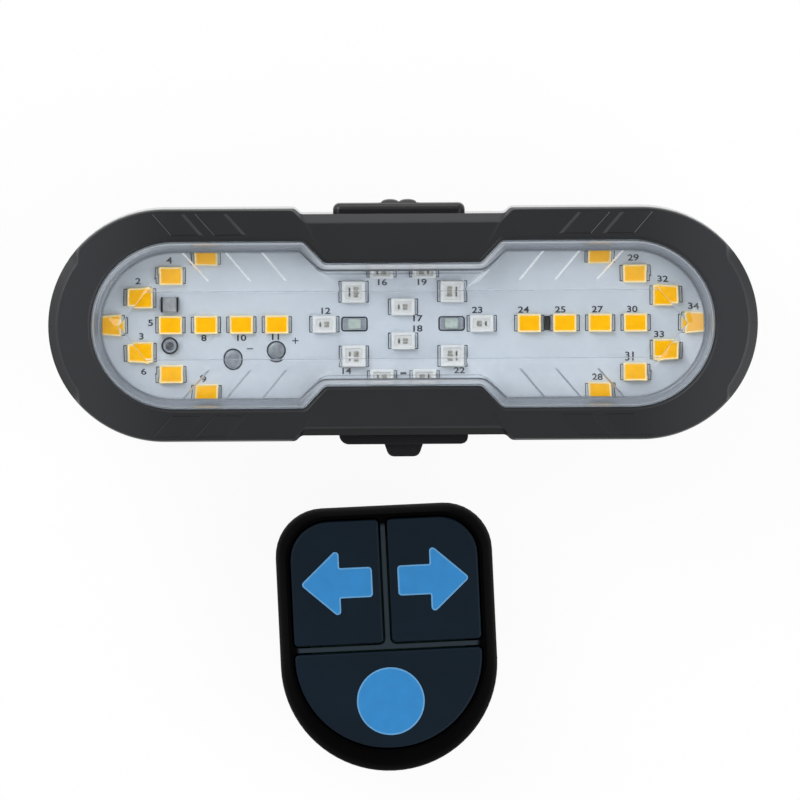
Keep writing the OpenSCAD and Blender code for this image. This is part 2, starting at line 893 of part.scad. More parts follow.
module lamp() {
    translate([-lamp_l / 2, -lamp_b / 2, 0])
        cube([lamp_l, lamp_b, lamp_h]);
    translate([-lamp_l / 2 - lamp_foot_out, lamp_foot_in - lamp_b / 2, 0])
        cube([lamp_l + 2 * lamp_foot_out, lamp_b - 2 * lamp_foot_in, lamp_foot]);
}

module lamps(spots) {
    for (spot = spots)
        translate([spot[0], spot[1], board_top])
            lamp();
}

module left_turn_lamps() {
    color("#ffb81c")
        on_light()
            lamps([for (spot = arrow_spots) [-spot[0], spot[1]]]);
}

module right_turn_lamps() {
    color("#ffb81c")
        on_light()
            lamps(arrow_spots);
}

module brake_lamps() {
    color("#f1f2f0")
        on_light()
            lamps(brake_spots);
}

module charge_lamps() {
    color("#cfe0d2")
        on_light()
            for (side = [-1, 1])
                translate([side * status_x - status_l / 2, -status_b / 2, board_top])
                    cube([status_l, status_b, status_h]);
}

module chip_resistors() {
    color("#1b1b1d")
        on_light() {
            translate([resistor_spot[0], resistor_spot[1], board_top + resistor_size[2] / 2])
                cube(resistor_size, center = true);
            for (column = back_resistor_columns)
                translate([column * lamp_pitch, back_resistor_y, board_z - resistor_size[2] / 2])
                    cube(resistor_size, center = true);
        }
}

module solder_joints() {
    color("#a9adb2")
        on_light()
            for (pad = [negative_pad, positive_pad])
                translate([pad[0], pad[1], board_top])
                    cylinder(d1 = solder_d, d2 = solder_top_d, h = solder_h);
}

module board_screw() {
    color("#9a9da1")
        on_light()
            board_screw_spot()
                translate([0, 0, board_top])
                    rotate([180, 0, 0])
                        screw(board_screw_d, board_screw_l, board_screw_head, board_screw_h);
}

module chip_inductor() {
    color("#8b8d90")
        on_light()
            translate([-board_post_x, board_post_y, board_top]) {
                translate([-inductor_size[0] / 2, -inductor_size[1] / 2, 0])
                    cube(inductor_size);
                for (side = [-1, 1])
                    translate([side * inductor_size[0] / 2, 0, inductor_foot[2] / 2])
                        cube(inductor_foot, center = true);
            }
}

module control_chip() {
    color("#202124")
        on_light()
            translate([chip_spot[0], chip_spot[1], board_z]) {
                translate([-chip_size[0] / 2, -chip_size[1] / 2, -chip_size[2]])
                    cube(chip_size);
                for (k = [0:chip_legs - 1], side = [-1, 1])
                    translate([
                        (k - (chip_legs - 1) / 2) * chip_leg_pitch,
                        side * chip_size[1] / 2,
                        -chip_leg[2] / 2
                    ])
                        cube([chip_leg[0], 2 * chip_leg[1], chip_leg[2]], center = true);
            }
}

module receiver_module() {
    color("#2f5d46")
        on_light()
            translate([module_spot[0], module_spot[1], board_z]) {
                translate([-module_size[0] / 2, -module_size[1] / 2, -module_size[2]])
                    cube(module_size);
                translate([-can_size[0] / 2, -can_size[1] / 2, -module_size[2] - can_size[2]])
                    cube([can_size[0], can_size[1], can_size[2] + join]);
            }
}

module receiver_antenna() {
    color("#b0763a")
        on_light()
            translate([
                module_spot[0] + module_size[0] / 2,
                module_spot[1] + module_size[1] / 2 - antenna_in,
                board_z - antenna_d / 2
            ])
                rotate([0, 90, 0])
                    cylinder(d = antenna_d, h = antenna_l);
}

module charge_port_shell() {
    mouth = -waist_in + port_recess;
    color("#b9bcc0")
        on_light()
            difference() {
                wall_slab(box_corners(port_w, port_h, port_round), 0, cover_z, mouth, mouth + port_l);
                wall_slab(
                    box_corners(port_w - 2 * port_wall, port_h - 2 * port_wall, port_round - port_wall),
                    0, cover_z, mouth - join, mouth + port_l - port_back
                );
            }
}

module charge_port_tongue() {
    back = -waist_in + port_recess + port_l - port_back;
    color("#1d1e20")
        on_light()
            wall_slab(
                box_corners(tongue_size[0], tongue_size[2], least_round),
                0, cover_z, back - tongue_size[1], back
            );
}

module power_switch() {
    color("#303236")
        on_light()
            difference() {
                translate([button_x - switch_l / 2, switch_face - switch_d, board_z - switch_h])
                    cube([switch_l, switch_d, switch_h]);
                translate([button_x, switch_face, button_z])
                    cube(
                        [
                            plunger_b + 2 * button_play,
                            2 * (plunger_in + button_travel + button_play),
                            plunger_h + 2 * button_play
                        ],
                        center = true
                    );
            }
}

module switch_plunger() {
    tip = flange_in - touch_play;
    color("#d8d4c8")
        on_light()
            translate([button_x - plunger_b / 2, switch_face - plunger_in, button_z - plunger_h / 2])
                cube([plunger_b, tip - switch_face + plunger_in, plunger_h]);
}

module battery_cell() {
    cell_round = 1.5;
    color("#8f959c")
        on_light()
            slab(box_corners(battery_l, battery_b, cell_round), battery_z, battery_t);
}

module battery_tape() {
    tape_margin = 2;
    tape_round = 1;
    color("#d9d6cc")
        on_light()
            slab(
                box_corners(battery_l - 2 * tape_margin, battery_b - 2 * tape_margin, tape_round),
                inner_z, tape_t
            );
}

module positive_lead() {
    color("#b3261e")
        on_light()
            tube(positive_route, lead_d);
}

module negative_lead() {
    color("#18181a")
        on_light()
            tube(negative_route, lead_d);
}

// The profile of a pad on the light's edge, with its two outer corners rounded
module pad_profile(length, y0, y1, round) {
    polygon(rounded([
        [-length / 2, y0, least_round, small_steps], [length / 2, y0, least_round, small_steps],
        [length / 2, y1, round, small_steps], [-length / 2, y1, round, small_steps]
    ]));
}

module button_surround() {
    color("#1c1b1e")
        on_light()
            difference() {
                translate([button_x, 0, button_z - edge_pad_h / 2])
                    linear_extrude(edge_pad_h)
                        pad_profile(surround_l, waist_y, waist_y + edge_pad_proud, surround_round);
                wall_slab(
                    box_corners(button_l + 2 * key_gap, button_h + 2 * key_gap, least_round),
                    button_x, button_z, waist_y - join, waist_y + edge_pad_proud + join
                );
            }
}

module power_button() {
    cap_y = waist_y + edge_pad_proud + button_cap;
    nub_y = waist_y + edge_pad_proud + nub_proud;
    color("#232226")
        on_light() {
            wall_slab(box_corners(button_l, button_h, least_round), button_x, button_z, flange_in, cap_y);
            wall_slab(
                box_corners(button_flange[0], button_flange[1], least_round),
                button_x, button_z, flange_in, flange_in + button_flange_t
            );
            for (side = [-1, 1])
                translate([button_x + side * nub_pitch / 2, cap_y - join, button_z])
                    rotate([-90, 0, 0])
                        cylinder(r1 = nub_r, r2 = nub_r - nub_edge, h = nub_y - cap_y + join);
        }
}

module port_cover() {
    out_y = -waist_y - edge_pad_proud;
    in_y = -waist_y - cover_gap;
    right = cover_l / 2;
    color("#1c1b1e")
        on_light() {
            translate([0, 0, cover_z - edge_pad_h / 2]) {
                linear_extrude(edge_pad_h)
                    polygon(rounded([
                        [hinge_x, out_y, least_round, small_steps],
                        [right, out_y, cover_round, small_steps],
                        [right, in_y, least_round, small_steps],
                        [hinge_x, in_y, least_round, small_steps]
                    ]));
                translate([hinge_x, -waist_y, 0])
                    cylinder(r = knuckle_r, h = edge_pad_h);
            }
            translate([0, 0, cover_z - tab_t / 2])
                linear_extrude(tab_t)
                    polygon(rounded([
                        [-tab_tip / 2, out_y - tab_l, cover_round, small_steps],
                        [tab_tip / 2, out_y - tab_l, cover_round, small_steps],
                        [tab_root / 2, out_y + join, least_round, small_steps],
                        [-tab_root / 2, out_y + join, least_round, small_steps]
                    ]));
            wall_slab(
                box_corners(plug_size[0], plug_size[1], plug_round),
                0, cover_z, in_y - join, -waist_y + plug_l
            );
        }
}

module case_screws() {
    shank_l = plate_t + case_depth + seam_t + case_screw_bite;
    color("#8d9095")
        on_light()
            case_screw_spots()
                translate([0, 0, back_z - plate_t])
                    screw(case_screw_d, shank_l, case_screw_head, case_screw_head_h);
}

// A hook that stands out of a saddle's side, for a rubber strap
module strap_hook(reach, low, t, lip, lip_t) {
    polygon([
        [-join, low], [reach, low], [reach, low + t + lip], [reach - lip_t, low + t + lip],
        [reach - lip_t, low + t], [-join, low + t]
    ]);
}

module seatpost_saddle() {
    plate_w = 2 * (case_screw_x + lug_round);
    plate_h = 2 * (case_screw_y + lug_round);
    color("#2b2c30")
        on_light()
            difference() {
                union() {
                    translate([0, saddle_l / 2, 0])
                        rotate([90, 0, 0])
                            linear_extrude(saddle_l)
                                translate([-saddle_w / 2, 0])
                                    square([saddle_w, saddle_h]);
                    slab(box_corners(plate_w, plate_h, lug_round), back_z - plate_t, plate_t);
                    for (side = [0, 1])
                        mirror([side, 0, 0])
                            translate([saddle_w / 2, hook_l / 2, 0])
                                rotate([90, 0, 0])
                                    linear_extrude(hook_l)
                                        strap_hook(hook_reach, hook_z, hook_t, hook_lip, hook_lip_t);
                }
                translate([0, saddle_l / 2 + join, post_z])
                    rotate([90, 0, 0])
                        cylinder(r = post_r + liner_t, h = saddle_l + 2 * join);
                case_screw_spots()
                    translate([0, 0, back_z - plate_t - join])
                        cylinder(d = case_screw_d + screw_clear, h = plate_t + 2 * join);
            }
}

module seatpost_liner() {
    color("#161618")
        on_light()
            intersection() {
                translate([0, saddle_l / 2, post_z])
                    rotate([90, 0, 0])
                        difference() {
                            cylinder(r = post_r + liner_t, h = saddle_l);
                            translate([0, 0, -join])
                                cylinder(r = post_r, h = saddle_l + 2 * join);
                        }
                translate([-saddle_w / 2, -saddle_l, liner_lift])
                    cube([saddle_w, 2 * saddle_l, saddle_h]);
            }
}

// Outlines of the remote

base_line = shield(remote_w, remote_h, remote_top_round, remote_low_round, 0);
top_line = shield(face_w, face_h, face_top_round, face_low_round, face_shift);
key_left = -face_w / 2 + key_rim;
key_high = face_h / 2 + face_shift - key_rim;
key_low = -face_h / 2 + face_shift + key_rim;
key_mid = face_shift - groove_drop;
upper_key_low = key_mid + key_groove / 2;
lower_key_high = key_mid - key_groove / 2;

left_key_line = [
    [key_left, key_high, face_top_round - key_rim, middle_steps],
    [key_left, upper_key_low, key_round, small_steps],
    [-key_groove / 2, upper_key_low, key_round, small_steps],
    [-key_groove / 2, key_high, key_round, small_steps]
];
right_key_line = [
    [key_groove / 2, key_high, key_round, small_steps],
    [key_groove / 2, upper_key_low, key_round, small_steps],
    [-key_left, upper_key_low, key_round, small_steps],
    [-key_left, key_high, face_top_round - key_rim, middle_steps]
];
mode_low_round = min(face_low_round - key_rim, lower_key_high - key_low - key_round - end_flat);
mode_key_line = [
    [key_left, lower_key_high, key_round, small_steps],
    [key_left, key_low, mode_low_round, large_steps],
    [-key_left, key_low, mode_low_round, large_steps],
    [-key_left, lower_key_high, key_round, small_steps]
];

top_arc = [remote_w / 2 - remote_top_round, remote_h / 2 - remote_top_round];
low_arc = [remote_w / 2 - remote_low_round, remote_low_round - remote_h / 2];
top_reach = remote_top_round - remote_screw_inset;
low_reach = remote_low_round - remote_screw_inset;
remote_screw_list = [
    top_arc + top_reach * [cos(remote_top_angle), sin(remote_top_angle)],
    low_arc + low_reach * [cos(remote_low_angle), -sin(remote_low_angle)]
];
key_spots = [
    [-symbol_x, symbol_y + face_shift], [symbol_x, symbol_y + face_shift], [0, dot_y + face_shift]
];

module remote_screw_spots() {
    for (side = [-1, 1], spot = remote_screw_list)
        translate([side * spot[0], spot[1], 0])
            children();
}

// The remote

module remote_case() {
    rings = concat(
        [at_z(rounded(inset(base_line, remote_tuck + join)), remote_back - join)],
        [
            for (step = tuck_profile)
                at_z(rounded(inset(base_line, step[0] * remote_tuck)), remote_back + step[1] * remote_tuck)
        ],
        [at_z(rounded(base_line), remote_rim + join)]
    );
    ring_r = cell_d / 2 + cell_play;
    color("#141518")
        on_remote()
            difference() {
                union() {
                    difference() {
                        cut_loft(rings, remote_back, remote_rim);
                        slab(inset(base_line, remote_wall), remote_in, remote_case_depth);
                    }
                    remote_screw_spots()
                        translate([0, 0, remote_in - join])
                            cylinder(d = remote_boss_d, h = remote_rim - remote_in + join);
                    for (side = [-1, 1], spot = remote_post_spots)
                        translate([side * spot[0], spot[1], remote_in - join])
                            cylinder(d = remote_post_d, h = remote_board_z - remote_in + join);
                    translate([0, cell_y, remote_in - join])
                        difference() {
                            cylinder(r = ring_r + cell_ring_t, h = cell_ring_h + join);
                            translate([0, 0, -join])
                                cylinder(r = ring_r, h = cell_ring_h + 3 * join);
                            translate([-contact_slot / 2, 0, -join])
                                cube([contact_slot, cell_d, cell_ring_h + 3 * join]);
                        }
                }
                remote_screw_spots()
                    translate([0, 0, remote_back - join])
                        cylinder(d = remote_screw_d + screw_clear, h = remote_case_depth + 2 * join);
            }
}

module remote_seal() {
    seal_out = 0.35;
    seal_in = 1.2;
    color("#0f1012")
        on_remote()
            difference() {
                band(inset(base_line, seal_out), inset(base_line, seal_in), remote_rim, seam_t);
                remote_screw_spots()
                    translate([0, 0, remote_rim - join])
                        cylinder(d = remote_screw_d + screw_clear, h = seam_t + 2 * join);
            }
}

module remote_cover() {
    roof_inset = 0.3;
    skirt_h = cover_top - remote_seam;
    outer = concat(
        [at_z(rounded(base_line), remote_seam - join)],
        [
            for (step = skirt_profile)
                at_z(rounded(blend(base_line, top_line, step[1])), remote_seam + step[0] * skirt_h)
        ],
        [at_z(rounded(inset(top_line, join)), cover_top + join)]
    );
    hollow = [
        at_z(rounded(inset(base_line, remote_wall)), remote_seam - join),
        at_z(rounded(inset(base_line, remote_wall)), remote_seam),
        at_z(rounded(inset(top_line, roof_inset)), top_z),
        at_z(rounded(inset(top_line, roof_inset + join)), top_z + join)
    ];
    color("#15181c")
        on_remote()
            difference() {
                union() {
                    difference() {
                        cut_loft(outer, remote_seam, cover_top);
                        cut_loft(hollow, remote_seam - join / 2, top_z);
                    }
                    remote_screw_spots()
                        translate([0, 0, remote_seam])
                            cylinder(d = remote_boss_d, h = remote_boss_h);
                }
                for (line = [left_key_line, right_key_line, mode_key_line])
                    slab(inset(line, -key_gap), top_z - join, top_t + 2 * join);
                remote_screw_spots()
                    translate([0, 0, remote_seam - join])
                        cylinder(d = remote_screw_d + screw_play, h = remote_boss_h - join);
            }
}

module remote_board() {
    color("#2c5a44")
        on_remote()
            slab(inset(base_line, remote_board_inset), remote_board_z, remote_board_t);
}

module remote_switches() {
    color("#3a3c40")
        on_remote()
            for (spot = key_spots)
                translate([spot[0], spot[1], remote_board_top])
                    difference() {
                        translate([-remote_switch_b / 2, -remote_switch_b / 2, 0])
                            cube([remote_switch_b, remote_switch_b, remote_switch_h]);
                        translate([0, 0, remote_switch_h - remote_plunger_in - key_travel - touch_play])
                            cylinder(d = remote_plunger_d + 2 * button_play, h = remote_switch_h);
                    }
}

module remote_chip() {
    color("#1b1c1f")
        on_remote()
            translate([-remote_chip_size[0] / 2, remote_chip_y - remote_chip_size[1] / 2, remote_board_top])
                cube(remote_chip_size);
}

module coin_cell() {
    color("#c2c5c9")
        on_remote()
            translate([0, cell_y, cell_z]) {
                cylinder(d = cell_d - cell_step_d, h = cell_t);
                translate([0, 0, cell_step_t])
                    cylinder(d = cell_d, h = cell_t - cell_step_t);
            }
}

module upper_cell_contact() {
    color("#b89b55")
        on_remote()
            translate([-contact_b / 2, cell_y - contact_l / 2, leaf_z])
                cube([contact_b, contact_l, contact_t]);
}

module lower_cell_contact() {
    leg_y = cell_y + cell_d / 2 + contact_leg_out;
    color("#b89b55")
        on_remote() {
            translate([-contact_b / 2, cell_y - contact_b, remote_in])
                cube([contact_b, leg_y - cell_y + contact_b, contact_t]);
            translate([-contact_b / 2, leg_y - contact_t, remote_in])
                cube([contact_b, contact_t, remote_board_z - remote_in]);
        }
}

module remote_screws() {
    shank_l = remote_plate_t + remote_case_depth + seam_t + remote_boss_h - remote_screw_end;
    color("#8d9095")
        on_remote()
            remote_screw_spots()
                translate([0, 0, remote_back - remote_plate_t])
                    screw(remote_screw_d, shank_l, remote_screw_head, remote_screw_head_h);
}

module handlebar_saddle() {
    color("#1b1c1f")
        on_remote()
            difference() {
                union() {
                    translate([-bar_saddle_l / 2, -bar_saddle_w / 2, 0])
                        cube([bar_saddle_l, bar_saddle_w, bar_saddle_h]);
                    slab(
                        inset(base_line, remote_plate_inset), remote_back - remote_plate_t, remote_plate_t
                    );
                    for (side = [0, 1])
                        mirror([0, side, 0])
                            translate([-bar_hook_l / 2, bar_saddle_w / 2, 0])
                                rotate([90, 0, 90])
                                    linear_extrude(bar_hook_l)
                                        strap_hook(
                                            bar_hook_reach, bar_hook_z, bar_hook_t, bar_hook_lip,
                                            bar_hook_lip_t
                                        );
                }
                translate([-bar_saddle_l / 2 - join, 0, bar_z])
                    rotate([0, 90, 0])
                        cylinder(r = bar_r + bar_liner_t, h = bar_saddle_l + 2 * join);
                remote_screw_spots()
                    translate([0, 0, remote_back - remote_plate_t - join])
                        cylinder(d = remote_screw_d + screw_clear, h = remote_plate_t + 2 * join);
            }
}

module handlebar_liner() {
    color("#111113")
        on_remote()
            intersection() {
                translate([-bar_saddle_l / 2, 0, bar_z])
                    rotate([0, 90, 0])
                        difference() {
                            cylinder(r = bar_r + bar_liner_t, h = bar_saddle_l);
                            translate([0, 0, -join])
                                cylinder(r = bar_r, h = bar_saddle_l + 2 * join);
                        }
                translate([-bar_saddle_l, -bar_saddle_w / 2, liner_lift])
                    cube([2 * bar_saddle_l, bar_saddle_w, bar_saddle_h]);
            }
}

module key_body(line) {
    rings = concat(
        [at_z(rounded(line), key_z - join)],
        [
            for (step = key_profile)
                at_z(rounded(inset(line, step[0] * key_edge)), key_top - step[1] * key_edge_h)
        ],
        [at_z(rounded(inset(line, key_edge + join)), key_top + join)]
    );
    cut_loft(rings, key_z, key_top);
}

// An arrow that points to +X, with its middle at the origin
module arrow_shape() {
    neck = arrow_l / 2 - arrow_head_l;
    polygon(rounded([
        [-arrow_l / 2, -arrow_shaft_b / 2, symbol_round, small_steps],
        [neck, -arrow_shaft_b / 2, least_round, small_steps],
        [neck, -arrow_head_b / 2, symbol_round, small_steps],
        [arrow_l / 2, 0, symbol_round, small_steps],
        [neck, arrow_head_b / 2, symbol_round, small_steps],
        [neck, arrow_shaft_b / 2, least_round, small_steps],
        [-arrow_l / 2, arrow_shaft_b / 2, symbol_round, small_steps]
    ]));
}

module arrow_block(side, t) {
    spot = key_spots[side < 0 ? 0 : 1];
    translate([spot[0], spot[1], key_top - inlay_t])
        rotate(side < 0 ? 180 : 0)
            linear_extrude(t)
                arrow_shape();
}

module dot_block(t) {
    translate([key_spots[2][0], key_spots[2][1], key_top - inlay_t])
        cylinder(d = dot_d, h = t);
}

module plunger_at(spot) {
    translate([spot[0], spot[1], remote_switch_top - remote_plunger_in])
        cylinder(d = remote_plunger_d, h = key_z - remote_switch_top + remote_plunger_in);
}

module left_key() {
    color("#1a2029")
        on_remote()
            difference() {
                key_body(left_key_line);
                arrow_block(-1, inlay_t + join);
            }
}

module left_arrow() {
    color("#378cd0")
        on_remote()
            arrow_block(-1, inlay_t + inlay_proud);
}

module left_plunger() {
    color("#d8d4c8")
        on_remote()
            plunger_at(key_spots[0]);
}

module right_key() {
    color("#1a2029")
        on_remote()
            difference() {
                key_body(right_key_line);
                arrow_block(1, inlay_t + join);
            }
}

module right_arrow() {
    color("#378cd0")
        on_remote()
            arrow_block(1, inlay_t + inlay_proud);
}

module right_plunger() {
    color("#d8d4c8")
        on_remote()
            plunger_at(key_spots[1]);
}

module mode_key() {
    color("#1a2029")
        on_remote()
            difference() {
                key_body(mode_key_line);
                dot_block(inlay_t + join);
            }
}

module mode_dot() {
    color("#378cd0")
        on_remote()
            dot_block(inlay_t + inlay_proud);
}

module mode_plunger() {
    color("#d8d4c8")
        on_remote()
            plunger_at(key_spots[2]);
}

rear_case();
case_seal();
front_bezel();
clear_lens();
lens_seal();
lamp_board();
left_turn_lamps();
right_turn_lamps();
brake_lamps();
charge_lamps();
chip_resistors();
solder_joints();
board_screw();
chip_inductor();
control_chip();
receiver_module();
receiver_antenna();
charge_port_shell();
charge_port_tongue();
power_switch();
switch_plunger();
battery_cell();
battery_tape();
positive_lead();
negative_lead();
button_surround();
power_button();
port_cover();
case_screws();
seatpost_saddle();
seatpost_liner();
remote_case();
remote_seal();
remote_cover();
remote_board();
remote_switches();
remote_chip();
coin_cell();
upper_cell_contact();
lower_cell_contact();
remote_screws();
handlebar_saddle();
handlebar_liner();
left_key();
left_arrow();
left_plunger();
right_key();
right_arrow();
right_plunger();
mode_key();
mode_dot();
mode_plunger();
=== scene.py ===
"""Looks of a bicycle turn signal light and its handlebar remote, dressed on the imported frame."""

import json
import math

import bmesh
import bpy
from mathutils import Matrix, Vector


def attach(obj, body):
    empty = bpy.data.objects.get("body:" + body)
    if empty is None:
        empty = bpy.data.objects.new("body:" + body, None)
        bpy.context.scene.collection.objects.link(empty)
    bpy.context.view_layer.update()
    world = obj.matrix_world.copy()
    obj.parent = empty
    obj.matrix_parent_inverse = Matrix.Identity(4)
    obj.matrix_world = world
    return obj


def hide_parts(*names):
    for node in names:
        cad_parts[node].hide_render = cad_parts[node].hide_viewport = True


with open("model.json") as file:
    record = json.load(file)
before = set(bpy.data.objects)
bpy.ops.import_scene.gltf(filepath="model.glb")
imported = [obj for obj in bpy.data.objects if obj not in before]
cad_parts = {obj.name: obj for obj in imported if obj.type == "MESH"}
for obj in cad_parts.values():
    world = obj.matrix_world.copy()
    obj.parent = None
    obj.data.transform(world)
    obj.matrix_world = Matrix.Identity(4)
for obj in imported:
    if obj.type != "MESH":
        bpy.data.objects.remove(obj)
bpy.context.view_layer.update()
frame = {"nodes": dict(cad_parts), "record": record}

# Lengths are written in millimetres and scaled to metres where a mesh is made
MM = 0.001

mounts = {mount["name"]: mount for mount in frame["record"]["mounts"]}
LIGHT_SPOT = mounts["seatpost"]["pos_m"]
REMOTE_SPOT = mounts["handlebar"]["pos_m"]
REMOTE_AXIS = mounts["handlebar"]["axis"]

# Heights in the light, from the floor up
BOARD_Z = 23.4
SEAM_Z = 24.2
FLANGE_Z = 25.0
LEDGE_Z = 26.2
ROOF_Z = 27.6
FACE_Z = 28.0
CROWN_Z = 29.2

# Steps in a large arc and in a small corner
LARGE_STEPS = 40
SMALL_STEPS = 6
LEAST_ROUND = 0.15
# Points closer than this are one point
MERGE = 0.006
# Edges that turn by more than this stay sharp
SHARP_ANGLE = math.radians(32.0)
BOTH_SIDES = (-1, 1)


def on_light(point):
    """A point of the light, given from its middle, in the frame's metres."""
    return Vector((point[0] * MM + LIGHT_SPOT[0], point[1] * MM + LIGHT_SPOT[1], point[2] * MM))


def on_remote(point):
    """A point of the remote, given from its middle, in the frame's metres."""
    x = point[0] * REMOTE_AXIS[0] - point[1] * REMOTE_AXIS[1]
    y = point[0] * REMOTE_AXIS[1] + point[1] * REMOTE_AXIS[0]
    return Vector((x * MM + REMOTE_SPOT[0], y * MM + REMOTE_SPOT[1], point[2] * MM))


# Outlines are lists of corners (x, y, rounding, steps) that run anticlockwise

# A round end stops this far short of a full half circle
END_EASE = 0.002
WAIST_ROUND = 1.0


def waisted(width, height, flat, waist, run):
    """A long outline with round ends, which slopes in to a flat waist."""
    end = height / 2 - END_EASE
    right = [
        (flat / 2, -waist / 2, WAIST_ROUND, SMALL_STEPS),
        (flat / 2 + run, -height / 2, WAIST_ROUND, SMALL_STEPS),
        (width / 2, -height / 2, end, LARGE_STEPS),
        (width / 2, height / 2, end, LARGE_STEPS),
        (flat / 2 + run, height / 2, WAIST_ROUND, SMALL_STEPS),
        (flat / 2, waist / 2, WAIST_ROUND, SMALL_STEPS),
    ]
    left = [(-x, -y, rounding, steps) for x, y, rounding, steps in right]
    return right + left


def box_corners(w, h, rounding, steps=SMALL_STEPS):
    signs = ((-1, -1), (1, -1), (1, 1), (-1, 1))
    return [(x * w / 2, y * h / 2, rounding, steps) for x, y in signs]


def inset(corners, d):
    """The corners moved inwards by d, or outwards where d is negative."""
    moved = []
    for i, (x, y, rounding, steps) in enumerate(corners):
        before = Vector(corners[i - 1][:2])
        here = Vector((x, y))
        after = Vector(corners[(i + 1) % len(corners)][:2])
        first = (here - before).normalized()
        second = (after - here).normalized()
        left = Vector((-first.y, first.x)) + Vector((-second.y, second.x))
        turn = -d if first.cross(second) > 0 else d
        spot = here + left * (d / (1 + first.dot(second)))
        moved.append((spot.x, spot.y, max(rounding + turn, LEAST_ROUND), steps))
    return moved


def mixed(a, b, t):
    """Corners part of the way from one list to another."""
    return [
        tuple(u + (v - u) * t for u, v in zip(p[:3], q[:3])) + (p[3],) for p, q in zip(a, b)
    ]


def rounded(corners, stops=()):
    """The points of an outline with its corners rounded, and with stops on its long level sides."""
    points = []
    count = len(corners)
    for i, (x, y, rounding, steps) in enumerate(corners):
        here = Vector((x, y))
        after = Vector(corners[(i + 1) % count][:2])
        u = (Vector(corners[i - 1][:2]) - here).normalized()
        v = (after - here).normalized()
        half = math.acos(max(-1.0, min(1.0, u.dot(v)))) / 2
        middle = here + (u + v).normalized() * (rounding / math.sin(half))
        first = here + u * (rounding / math.tan(half)) - middle
        start = math.atan2(first.y, first.x)
        way = math.copysign(1.0, (-u).cross(v))
        for k in range(steps + 1):
            angle = start + way * (math.pi - 2 * half) * k / steps
            points.append((middle.x + rounding * math.cos(angle), middle.y + rounding * math.sin(angle)))
        level = abs(after.y - here.y) < LEAST_ROUND and here.x * after.x > 0
        if stops and level:
            side = math.copysign(1.0, here.x)
            spots = sorted((side * s for s in stops), reverse=after.x < here.x)
            points.extend((spot, here.y) for spot in spots)
    return points


def at_z(points, z):
    return [(x, y, z) for x, y in points]


class Shape:
    """Mesh data gathered from lofts, in millimetres."""

    def __init__(self):
        self.points = []
        self.faces = []
        self.marks = []

    def loft(self, rings, mark=0, marks=None, high=None, around=False):
        """Joins rings of equal length. Marks are material numbers, one for all or one for each band.

        Both ends take the single mark, or the last end a mark of its own.
        """
        start = len(self.points)
        count = len(rings[0])
        total = len(rings)
        for ring in rings:
            self.points.extend(ring)
        for j in range(total if around else total - 1):
            lower = start + j * count
            upper = start + (j + 1) % total * count
            for i in range(count):
                k = (i + 1) % count
                self.faces.append((lower + i, lower + k, upper + k, upper + i))
                self.marks.append(marks[j] if marks else mark)
        if not around:
            self.faces.append(tuple(range(start + count - 1, start - 1, -1)))
            self.marks.append(mark)
            last = start + (total - 1) * count
            self.faces.append(tuple(range(last, last + count)))
            self.marks.append(mark if high is None else high)

    def block(self, x, y, z, w, h, t, rounding=LEAST_ROUND, edge=0.0, mark=0):
        """A slab with rounded corners, its foot at z, and its upper edge cut by a small chamfer."""
        corners = box_corners(w, h, rounding)
        rings = [at_z(rounded(corners), z), at_z(rounded(corners), z + t - edge)]
        if edge:
            rings.append(at_z(rounded(inset(corners, edge)), z + t))
        self.loft([[(px + x, py + y, pz) for px, py, pz in ring] for ring in rings], mark)

    def turned(self, x, y, profile, mark=0, marks=None, around=False):
        """A round body from its profile of (radius, height) points."""
        turns = [2 * math.pi * k / LARGE_STEPS for k in range(LARGE_STEPS)]
        rings = [[(x + r * math.cos(a), y + r * math.sin(a), z) for a in turns] for r, z in profile]
        self.loft(rings, mark, marks, around=around)

    def ring(self, x, y, z, outer, inner, t):
        """A flat ring with a square section."""
        self.turned(x, y, [(outer, z), (outer, z + t), (inner, z + t), (inner, z)], around=True)

    def dome(self, x, y, z, radius, height, rows=6, mark=0):
        """A round cap whose section is a quarter of an ellipse."""
        lifts = [math.pi / 2 * j / rows for j in range(rows)]
        self.turned(x, y, [(radius * math.cos(a), z + height * math.sin(a)) for a in lifts], mark)


def piece(name, shape, paints, nodes=(), body="light", place=on_light):
    """A mesh object made from a shape, which rides on a body and stands for CAD nodes."""
    mesh = bpy.data.meshes.new(name)
    mesh.from_pydata([place(point) for point in shape.points], [], shape.faces)
    for paint in paints:
        mesh.materials.append(paint.material)
    mesh.polygons.foreach_set("material_index", shape.marks)
    work = bmesh.new()
    work.from_mesh(mesh)
    bmesh.ops.remove_doubles(work, verts=work.verts, dist=MERGE * MM)
    bmesh.ops.recalc_face_normals(work, faces=work.faces)
    work.to_mesh(mesh)
    work.free()
    mesh.shade_smooth()
    mesh.set_sharp_from_angle(angle=SHARP_ANGLE)
    made = bpy.data.objects.new(name, mesh)
    bpy.context.scene.collection.objects.link(made)
    normals = made.modifiers.new("even_normals", "WEIGHTED_NORMAL")
    normals.keep_sharp = True
    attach(made, body)
    if nodes:
        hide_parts(*nodes)


# Materials

# Where the two shades of a noise begin
RAMP_SPOTS = (0.3, 0.7)
PATCH_DETAIL = 3.0
FINE_DETAIL = 2.0
# How much the roughness varies, as a share of it
GLOSS_VARY = 0.15
CLEAR_GLOSS_VARY = 0.4
CLEAR_VARY = 0.03
CLEAR_IOR = 1.49
# The sockets of a mix node that carry colours
MIX_FIRST = 6
MIX_SECOND = 7
MIX_RESULT = 2
# Where the second colour of an ellipse fades out, as a share of its reach
FIELD_FADE = (0.95, 0.985)
# Middle and reach of the remote's key field; its height plays no part
REMOTE_FIELD = (REMOTE_SPOT[0], REMOTE_SPOT[1] + 0.65 * MM, 0.0)
REMOTE_FIELD_SIZE = (13.2 * MM, 16.15 * MM, 1.0)


